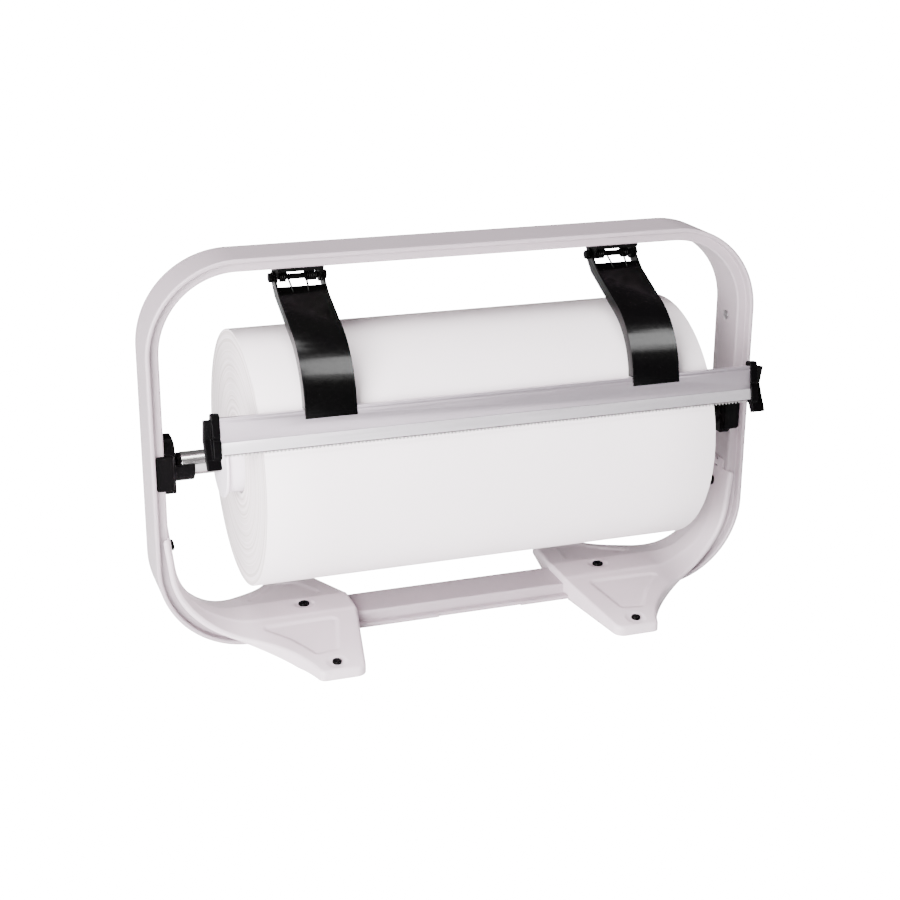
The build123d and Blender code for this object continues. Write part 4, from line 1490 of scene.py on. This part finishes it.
                number[i] = first
            else:
                number[i] = len(points)
                points.append(self._bent(spots[i, 0], spots[i, 1], depth[i]))
        faces += [[number[i] for i in face] for face in tris]
        return points, faces

    def _inward_ways(self, flat: np.ndarray) -> np.ndarray:
        """Unit ways inwards from the edge's points.

        Args:
            flat: The edge's points.

        Returns:
            One way for each point.
        """
        before = np.vstack((flat[:1], flat[:-1]))
        after = np.vstack((flat[1:], flat[-1:]))
        along = after - before
        along /= np.maximum(np.hypot(along[:, 0], along[:, 1]), 1e-9)[:, None]
        ways = np.column_stack((-along[:, 1], along[:, 0]))
        if ways[len(ways) // 2][0] < 0:
            ways = -ways
        ways[0], ways[-1] = (0, 1), (0, -1)
        return ways

    def _tongue(self, back: Point, front: Point) -> Outline:
        """Top edge of the tail, from the back shoulder over the tongue to the front shoulder."""
        shoulder, tip, half = self._s_at(self.shoulder), self._s_at(self.tip[1]), self.tongue_half
        line = rounded(
            [
                (shoulder, back[1], 0),
                (shoulder, half, 2.0),
                (tip, half, 4.0),
                (tip, -half, 4.0),
                (shoulder, -half, 2.0),
                (shoulder, front[1], 0),
            ],
            6,
        )
        return line[1:-1]

    def _slots(self) -> list[Outline]:
        """Outlines of the two slots in the tongue."""
        high, wide = self.slot_half
        slots = []
        for rise in self.slots:
            s = self._s_at(rise)
            corners = [(s - high, -wide), (s + high, -wide), (s + high, wide), (s - high, wide)]
            slots.append(rounded([(*corner, self.slot_round) for corner in corners], 3))
        return slots

    def _filling(self, outline: Outline, slots: list[Outline]) -> Outline:
        """Points on an even grid inside the outline and clear of the slots."""
        tip = self._s_at(self.tip[1])
        rows = np.arange(-self.toe_reach, self.toe_reach, self.grid * self.row)
        spots = []
        for n, y in enumerate(rows):
            shift = self.grid / 2 if n % 2 else 0
            spots += [(x + shift, y) for x in np.arange(self.inner, tip, self.grid)]
        cloud = np.array(spots)
        keep = self._inside(cloud[:, 0], cloud[:, 1], outline) > self.edge_gap
        for slot in slots:
            keep &= self._inside(cloud[:, 0], cloud[:, 1], slot) < -self.slot_gap
        return [tuple(p) for p in cloud[keep]]


@dataclass
class PaperSupply:
    """The wound roll with its board core, hubs, steel tube and end plugs.

    Attributes:
        radius: Radius of the wound paper.
        core: Outer radius of the core.
        bore: Radius of the core's bore.
        tube_half: Half the tube's length.
        tube: Outer radius of the tube.
        tube_bore: Radius of the tube's bore.
        turns: Steps from the core to the outside at the paper's ends.
        shift: Largest change of a turn's place from the one before.
        deepest: How far in a turn can lie.
        outer_round: Room for the rounded outer edge.
        sheet_step: Step where the outermost turn ends.
        free_edge: Angle of that end above the level of the axis, in degrees.
        seed: Seed of the small shifts between turns.
    """

    radius: float = 138.6
    core: float = 44.0
    bore: float = 38.25
    tube_half: float = 311.6
    tube: float = 13.0
    tube_bore: float = 11.5
    turns: int = 46
    shift: float = 0.16
    deepest: float = -0.22
    outer_round: float = 0.9
    sheet_step: float = 0.22
    free_edge: float = 18.9
    seed: int = 7

    def build(self, shop: Workshop) -> None:
        """Make every piece that turns with the roll.

        Args:
            shop: The workshop that finishes the pieces.
        """
        shop.finish(self._paper(), ["paper_roll"], Body.ROLL, "paper")
        core = self._pipe(ROLL_HALF, (self.bore, 0.4), (self.core, 0.3), 3)
        shop.finish(linked("board_core", turned("board_core", core, 160)), ["roll_core"], Body.ROLL, "core_board")
        tube = self._pipe(self.tube_half, (self.tube_bore, 0.3), (self.tube, 0.5), 4)
        shop.finish(linked("steel_tube", turned("steel_tube", tube, 128)), ["shaft_tube"], Body.ROLL, "shaft_steel")
        for side, name in ((1, "right"), (-1, "left")):
            for piece, outline, node, slot in (
                ("hub_moulding", self._hub(), "hub", "hub_plastic"),
                ("plug_moulding", self._plug(), "end_plug", "black_plastic"),
            ):
                mesh = turned(f"{name}_{piece}", [(side * x, r) for x, r in outline], 144)
                part = linked(f"{name}_{piece}", mesh)
                shop.even_normals(part)
                shop.finish(part, [f"{name}_{node}"], Body.ROLL, slot)

    def _pipe(self, half: float, inside: Point, outside: Point, steps: int) -> Outline:
        """Section of a pipe from its half length and the radius and end rounding of each wall."""
        return rounded([(-half, *inside), (half, *inside), (half, *outside), (-half, *outside)], steps)

    def _paper(self) -> bpy.types.Object:
        """Wind the paper: a spiral outside with its free edge, and ends whose turns don't quite line up."""
        dice = random.Random(self.seed)
        shifts = [0.0]
        for _ in range(self.turns):
            shifted = shifts[-1] * 0.6 + dice.uniform(-self.shift, self.shift)
            shifts.append(min(max(shifted, self.deepest), 0.0))
        depth = self.radius - self.outer_round - self.core
        reach = [self.core + depth * k / self.turns for k in range(self.turns + 1)]
        half_outline = [(ROLL_HALF + shift, r) for r, shift in zip(reach, shifts)]
        half_outline += [
            (ROLL_HALF - 0.05, self.radius - 0.5),
            (ROLL_HALF - 0.25, self.radius - 0.15),
            (ROLL_HALF - 0.6, self.radius),
        ]
        across = [(ROLL_HALF * x, self.radius) for x in (0.75, 0.5, 0.25, 0, -0.25, -0.5, -0.75)]
        outline = half_outline + across + [(-x, r) for x, r in reversed(half_outline)]
        segments = 360
        start = math.radians(180 - self.free_edge)
        points: list[Triple] = []
        for k in range(segments + 1):
            share = k / segments
            angle = start + 2 * math.pi * share
            for x, r in outline:
                grown = r - self.sheet_step * (1 - share) * (r - self.core) / (self.radius - self.core)
                points.append((x, grown * math.cos(angle), AXIS_HEIGHT + grown * math.sin(angle)))
        return linked("wound_paper", mesh_of("wound_paper", points, ring_faces(segments + 1, len(outline))))

    def _hub(self) -> Outline:
        """Section of the right hub: flange, neck and barrel, with moulded roundings."""
        return rounded(
            [
                (270.0, 13.1, 0.6),
                (270.0, 41.0, 1.2),
                (267.0, 41.0, 1.0),
                (267.0, 36.0, 0.8),
                (244.0, 36.0, 0.4),
                (244.0, 38.15, 0.4),
                (204.0, 38.15, 0.8),
                (204.0, 35.15, 0.4),
                (241.0, 35.15, 0.4),
                (241.0, 33.0, 0.4),
                (267.0, 33.0, 0.4),
                (267.0, 16.1, 0.4),
                (204.0, 16.1, 0.4),
                (204.0, 13.1, 0.4),
            ],
            5,
        )

    def _plug(self) -> Outline:
        """Section of the right end plug."""
        return rounded(
            [
                (295.6, 0.4, 0),
                (295.6, 11.4, 0.8),
                (311.6, 11.4, 0),
                (311.6, 12.5, 0),
                (316.4, 12.5, 1.0),
                (316.4, 8.0, 0.4),
                (319.3, 8.0, 0.8),
                (319.3, 0.4, 0),
            ],
            5,
        )


@dataclass
class ShaftRests:
    """The black moulded brackets that hook on the uprights and carry the tube.

    Attributes:
        web: Distance of the upright's web from the roll's middle.
        swell: How far the paddle's upper part swells inwards at its tip.
        swell_from: Height where the swelling starts.
        swell_to: Height of the paddle's tip.
        root: Distance from the web over which the swelling grows.
    """

    web: float = 331.5
    swell: float = 5.0
    swell_from: float = 229.0
    swell_to: float = 249.0
    root: float = 2.5

    def build(self, shop: Workshop) -> None:
        """Make both brackets from their own form, with moulded edges."""
        for side in ("left", "right"):
            piece = shop.moulded(f"{side}_shaft_bracket", Body.STAND, "black_plastic", 0.7, 14)
            for corner in piece.data.vertices:
                corner.co.x = math.copysign(self._swollen(abs(corner.co.x) / MM, corner.co.z / MM) * MM, corner.co.x)

    def _swollen(self, x: float, z: float) -> float:
        """Distance from the roll's middle of a point of the paddle, once it is swollen."""
        share = min(max((z - self.swell_from) / (self.swell_to - self.swell_from), 0), 1)
        depth = min(max((self.web - x) / self.root, 0), 1)
        return x - self.swell * math.sin(share * math.pi / 2) * depth


@dataclass
class Fasteners:
    """Screws, rivets and pads of the stand, each kind set at its seats.

    Attributes:
        foot: The foot that the screws sit in.
        small: Screw of the toes.
        big: Screw of the spines, tails and hinge brackets.
        rivet: Rivet of the uprights.
        spine_seat: Seat of the right foot's spine screw.
        tail_seat: Seat of its tail screw.
        hinge_seat: Seat of the right hinge bracket's screw.
        rivet_seat: Seat of the right upright's rivet.
    """

    foot: StampedFoot
    small: PanHead = PanHead(5.2, 3.2, 2.5, 10.0, 1.5)
    big: PanHead = PanHead(6.2, 4.0, 2.5, 6.0, 1.9)
    rivet: PanHead = PanHead(5.2, 1.4, 1.2, 3.0, 0.7)
    spine_seat: Seat = Seat((180.0, 4.0, 29.6), (0, 0, 1))
    tail_seat: Seat = Seat((325.76, 4.0, 121.0), (-0.9932, 0, 0.1167))
    hinge_seat: Seat = Seat((179.3, 0, 419.7), (0, 0, -1))
    rivet_seat: Seat = Seat((331.5, 4.0, 324.0), (-1, 0, 0))

    def build(self, shop: Workshop) -> None:
        """Set every kind of fastener.

        Args:
            shop: The workshop that finishes the pieces.
        """
        toes = self.small.mesh("toe_screw")
        shop.set_copies("toe_screw_heads", toes, self._toe_seats(), "toe_screws", Body.STAND, "black_steel")
        for name, head, seat, node, slot in (
            ("spine_screw_heads", self.big, self.spine_seat, "spine_screws", "black_steel"),
            ("tail_screw_heads", self.big, self.tail_seat, "tail_screws", "black_steel"),
            ("hinge_screw_heads", self.big, self.hinge_seat, "hinge_bracket_screws", "black_steel"),
            ("rivet_heads", self.rivet, self.rivet_seat, "upright_rivets", "plated_steel"),
        ):
            shop.set_copies(name, head.mesh(f"{name}_item"), [seat, seat.mirrored()], node, Body.STAND, slot)
        shop.softened("foot_pads", Body.STAND, "pad_rubber", 0.8, 3)

    def _toe_seats(self) -> list[Seat]:
        """Seats of the four toe screws, on the floors of their dishes."""
        foot = self.foot
        lean = math.radians(foot.slope)
        x = foot.corner_x + foot.toe_screw[0]
        rise = foot.top - (foot.toe_screw[1] - foot.spine_half) * math.tan(lean)
        seats = []
        for side in (-1, 1):
            way = (0, side * math.sin(lean), math.cos(lean))
            place = (x, side * foot.toe_screw[1] - way[1] * foot.dish_depth, rise - way[2] * foot.dish_depth)
            seats += [Seat(place, way), Seat(place, way).mirrored()]
        return seats


@dataclass
class CutterHinges:
    """Folded brackets under the top bar, their pins and nuts, and the wound springs.

    Attributes:
        middle: Distance of a hinge from the roll's middle.
        lip: Half the width of the lip folded down from the bracket's front edge.
        lip_depth: Its front and back.
        lip_height: Its lowest and highest edge.
        swell: How far the wire's skin stands proud of the construction's.
    """

    middle: float = 179.3
    lip: float = 22.7
    lip_depth: Point = (-17.95, -16.2)
    lip_height: Point = (417.3, 420.2)
    swell: float = 0.22

    def build(self, shop: Workshop) -> None:
        """Make the hinges' pieces."""
        for side in ("left", "right"):
            bracket = shop.softened(f"{side}_hinge_bracket", Body.STAND, "black_steel", 0.4, 3)
            self._add_lip(bracket.data, math.copysign(self.middle, 1 if side == "right" else -1))
            shop.softened(f"{side}_hinge_pin", Body.STAND, "black_steel", 0.4, 3)
        shop.softened("hinge_nuts", Body.STAND, "black_steel", 0.4, 3)
        springs = linked("torsion_springs_piece", clean_copy("torsion_springs"))
        skin = [corner.normal * (self.swell * MM) for corner in springs.data.vertices]
        for corner, step in zip(springs.data.vertices, skin):
            corner.co += step
        shop.finish(springs, ["torsion_springs"], Body.STAND, "black_steel")

    def _add_lip(self, mesh: bpy.types.Mesh, middle: float) -> None:
        """Add the lip folded down from a bracket's front edge.

        Args:
            mesh: The bracket's mesh.
            middle: The bracket's middle along the bar.
        """
        (front, back), (low, high) = self.lip_depth, self.lip_height
        size = Vector((2 * self.lip, back - front, high - low)) * MM
        place = Vector((middle, (front + back) / 2, (low + high) / 2)) * MM
        with edited(mesh) as form:
            bmesh.ops.create_cube(form, size=1, matrix=Matrix.LocRotScale(place, None, size))


@dataclass
class CutterSwing:
    """What swings: the two arms, the rail, its caps and screws, and the toothed blade.

    Attributes:
        tilt: Tilt of the rail, in degrees.
        blade_height: Height of the blade's tips above the roll's axis.
        reach: Distance of the tips from the axis.
        teeth: Number of teeth.
        pitch: Width of a tooth.
        tooth: Depth of a tooth.
        drop: How far the tips reach below the rail.
        rise: How far the blade goes up behind the rail.
        sheet: Thickness of the blade.
        wall: Thickness of the rail's face.
        screw: Screw between the rail and an arm.
        screw_places: Distances of the right arm's screws from the middle.
        screw_rise: Height of the screws up the rail's face.
    """

    tilt: float = 10.0
    blade_height: float = 48.1
    reach: float = 139.1
    teeth: int = 145
    pitch: float = 4.0
    tooth: float = 2.4
    drop: float = 3.55
    rise: float = 9.0
    sheet: float = 0.6
    wall: float = 1.8
    screw: PanHead = PanHead(2.8, 1.9, 1.5, 2.5, 0.9)
    screw_places: Point = (165.3, 193.3)
    screw_rise: float = 31.4

    def build(self, shop: Workshop) -> None:
        """Make the cutter's pieces.

        Args:
            shop: The workshop that finishes the pieces.
        """
        for side in ("left", "right"):
            shop.softened(f"{side}_arm", Body.CUTTER, "arm_gloss", 0.8, 4, 40)
            shop.moulded(f"{side}_end_cap", Body.CUTTER, "black_plastic", 0.45, 14)
        shop.softened("cutter_rail", Body.CUTTER, "rail_aluminium", 0.22, 3)
        shop.finish(self._blade(), ["serrated_blade"], Body.CUTTER, "blade_steel")
        seats = []
        for x in self.screw_places:
            seat = Seat(tuple(self._on_rail(x, self.wall, self.screw_rise)), tuple(self._back()))
            seats += [seat, seat.mirrored()]
        screw = self.screw.mesh("arm_screw", 40, 14)
        shop.set_copies("arm_screw_heads", screw, seats, "arm_screws", Body.CUTTER, "plated_steel")

    def _up(self) -> Vector:
        """Way up the rail's face."""
        return Vector((0, math.sin(math.radians(self.tilt)), math.cos(math.radians(self.tilt))))

    def _back(self) -> Vector:
        """Way back through the rail."""
        return Vector((0, math.cos(math.radians(self.tilt)), -math.sin(math.radians(self.tilt))))

    def _on_rail(self, x: float, back: float, up: float) -> Vector:
        """Place on the rail: x along it, then back through it and up its face, in millimetres."""
        tip = Vector((0, -math.sqrt(self.reach**2 - self.blade_height**2), AXIS_HEIGHT + self.blade_height))
        origin = tip + self._up() * self.drop - self._back() * (self.wall + self.sheet)
        return origin + Vector((x, 0, 0)) + self._back() * back + self._up() * up

    def _blade(self) -> bpy.types.Object:
        """Repeat one ground tooth along the blade.

        Returns:
            The blade.
        """
        half, root, front = self.pitch / 2, self.tooth - self.drop, self.wall
        back = self.wall + self.sheet
        spots = [
            (-half, back, self.rise), (half, back, self.rise), (half, back, root), (0, back, -self.drop),
            (-half, back, root), (-half, front, self.rise), (half, front, self.rise), (half, front, 0.6),
            (-half, front, 0.6), (half, back - 0.3, root), (0, back - 0.12, -self.drop), (-half, back - 0.3, root),
        ]
        faces = [(0, 1, 2, 3, 4), (5, 8, 7, 6), (8, 11, 10, 9, 7), (2, 9, 10, 3), (3, 10, 11, 4), (0, 5, 6, 1)]
        first = -(self.teeth - 1) * self.pitch / 2
        cell = bpy.data.meshes.new("blade_tooth")
        cell.from_pydata([self._on_rail(first + x, b, u) * MM for x, b, u in spots], [], faces)
        model = linked("blade_tooth", cell)
        carrier = linked("blade_carrier", bpy.data.meshes.new("blade_carrier"))
        row = carrier.modifiers.new("teeth", "NODES")
        row.node_group = self._teeth_tree()
        sockets = {s.name: s.identifier for s in row.node_group.interface.items_tree if s.in_out == "INPUT"}
        row[sockets["Tooth"]] = model
        row[sockets["Count"]] = self.teeth
        row[sockets["Pitch"]] = self.pitch * MM
        mesh = baked(carrier, "toothed_blade")
        bpy.data.objects.remove(model)
        with edited(mesh) as form:
            bmesh.ops.remove_doubles(form, verts=form.verts, dist=1e-6)
            bmesh.ops.holes_fill(form, edges=[e for e in form.edges if e.is_boundary], sides=0)
            bmesh.ops.recalc_face_normals(form, faces=form.faces)
        mesh.shade_flat()
        return linked("toothed_blade", mesh)

    def _teeth_tree(self) -> bpy.types.NodeTree:
        """Build the tree that repeats the tooth in a row.

        Returns:
            The tree.
        """
        tree = bpy.data.node_groups.new("row_of_teeth", "GeometryNodeTree")
        for label, kind in (
            ("Start", "NodeSocketGeometry"),
            ("Tooth", "NodeSocketObject"),
            ("Count", "NodeSocketInt"),
            ("Pitch", "NodeSocketFloat"),
            ("Finish", "NodeSocketMaterial"),
        ):
            tree.interface.new_socket(label, in_out="INPUT", socket_type=kind)
        tree.interface.new_socket("Blade", in_out="OUTPUT", socket_type="NodeSocketGeometry")
        wiring = Wiring(tree)
        source = wiring.add("NodeGroupInput")
        sink = wiring.add("NodeGroupOutput")
        step = wiring.add("ShaderNodeCombineXYZ", {"X": source.outputs["Pitch"]})
        line = wiring.add("GeometryNodeMeshLine", {"Count": source.outputs["Count"], "Offset": step.outputs[0]})
        tooth = wiring.add("GeometryNodeObjectInfo", {"Object": source.outputs["Tooth"]})
        copies = wiring.add(
            "GeometryNodeInstanceOnPoints", {"Points": line.outputs[0], "Instance": tooth.outputs["Geometry"]}
        )
        real = wiring.add("GeometryNodeRealizeInstances", {"Geometry": copies.outputs[0]})
        dressed = wiring.add(
            "GeometryNodeSetMaterial", {"Geometry": real.outputs[0], "Material": source.outputs["Finish"]}
        )
        wiring.link(dressed.outputs[0], sink.inputs[0])
        return tree


def main() -> None:
    """Build the dressed scene."""
    logging.basicConfig(level=logging.INFO, format="%(name)s: %(message)s")
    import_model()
    CameraView().build()
    studio = Studio()
    studio.build()
    shop = Workshop()
    foot = StampedFoot()
    for assembly in (
        HoopFrame(),
        foot,
        PaperSupply(),
        ShaftRests(),
        Fasteners(foot),
        CutterHinges(),
        CutterSwing(),
    ):
        assembly.build(shop)
    studio.light_arms()


if __name__ == "__main__":
    main()
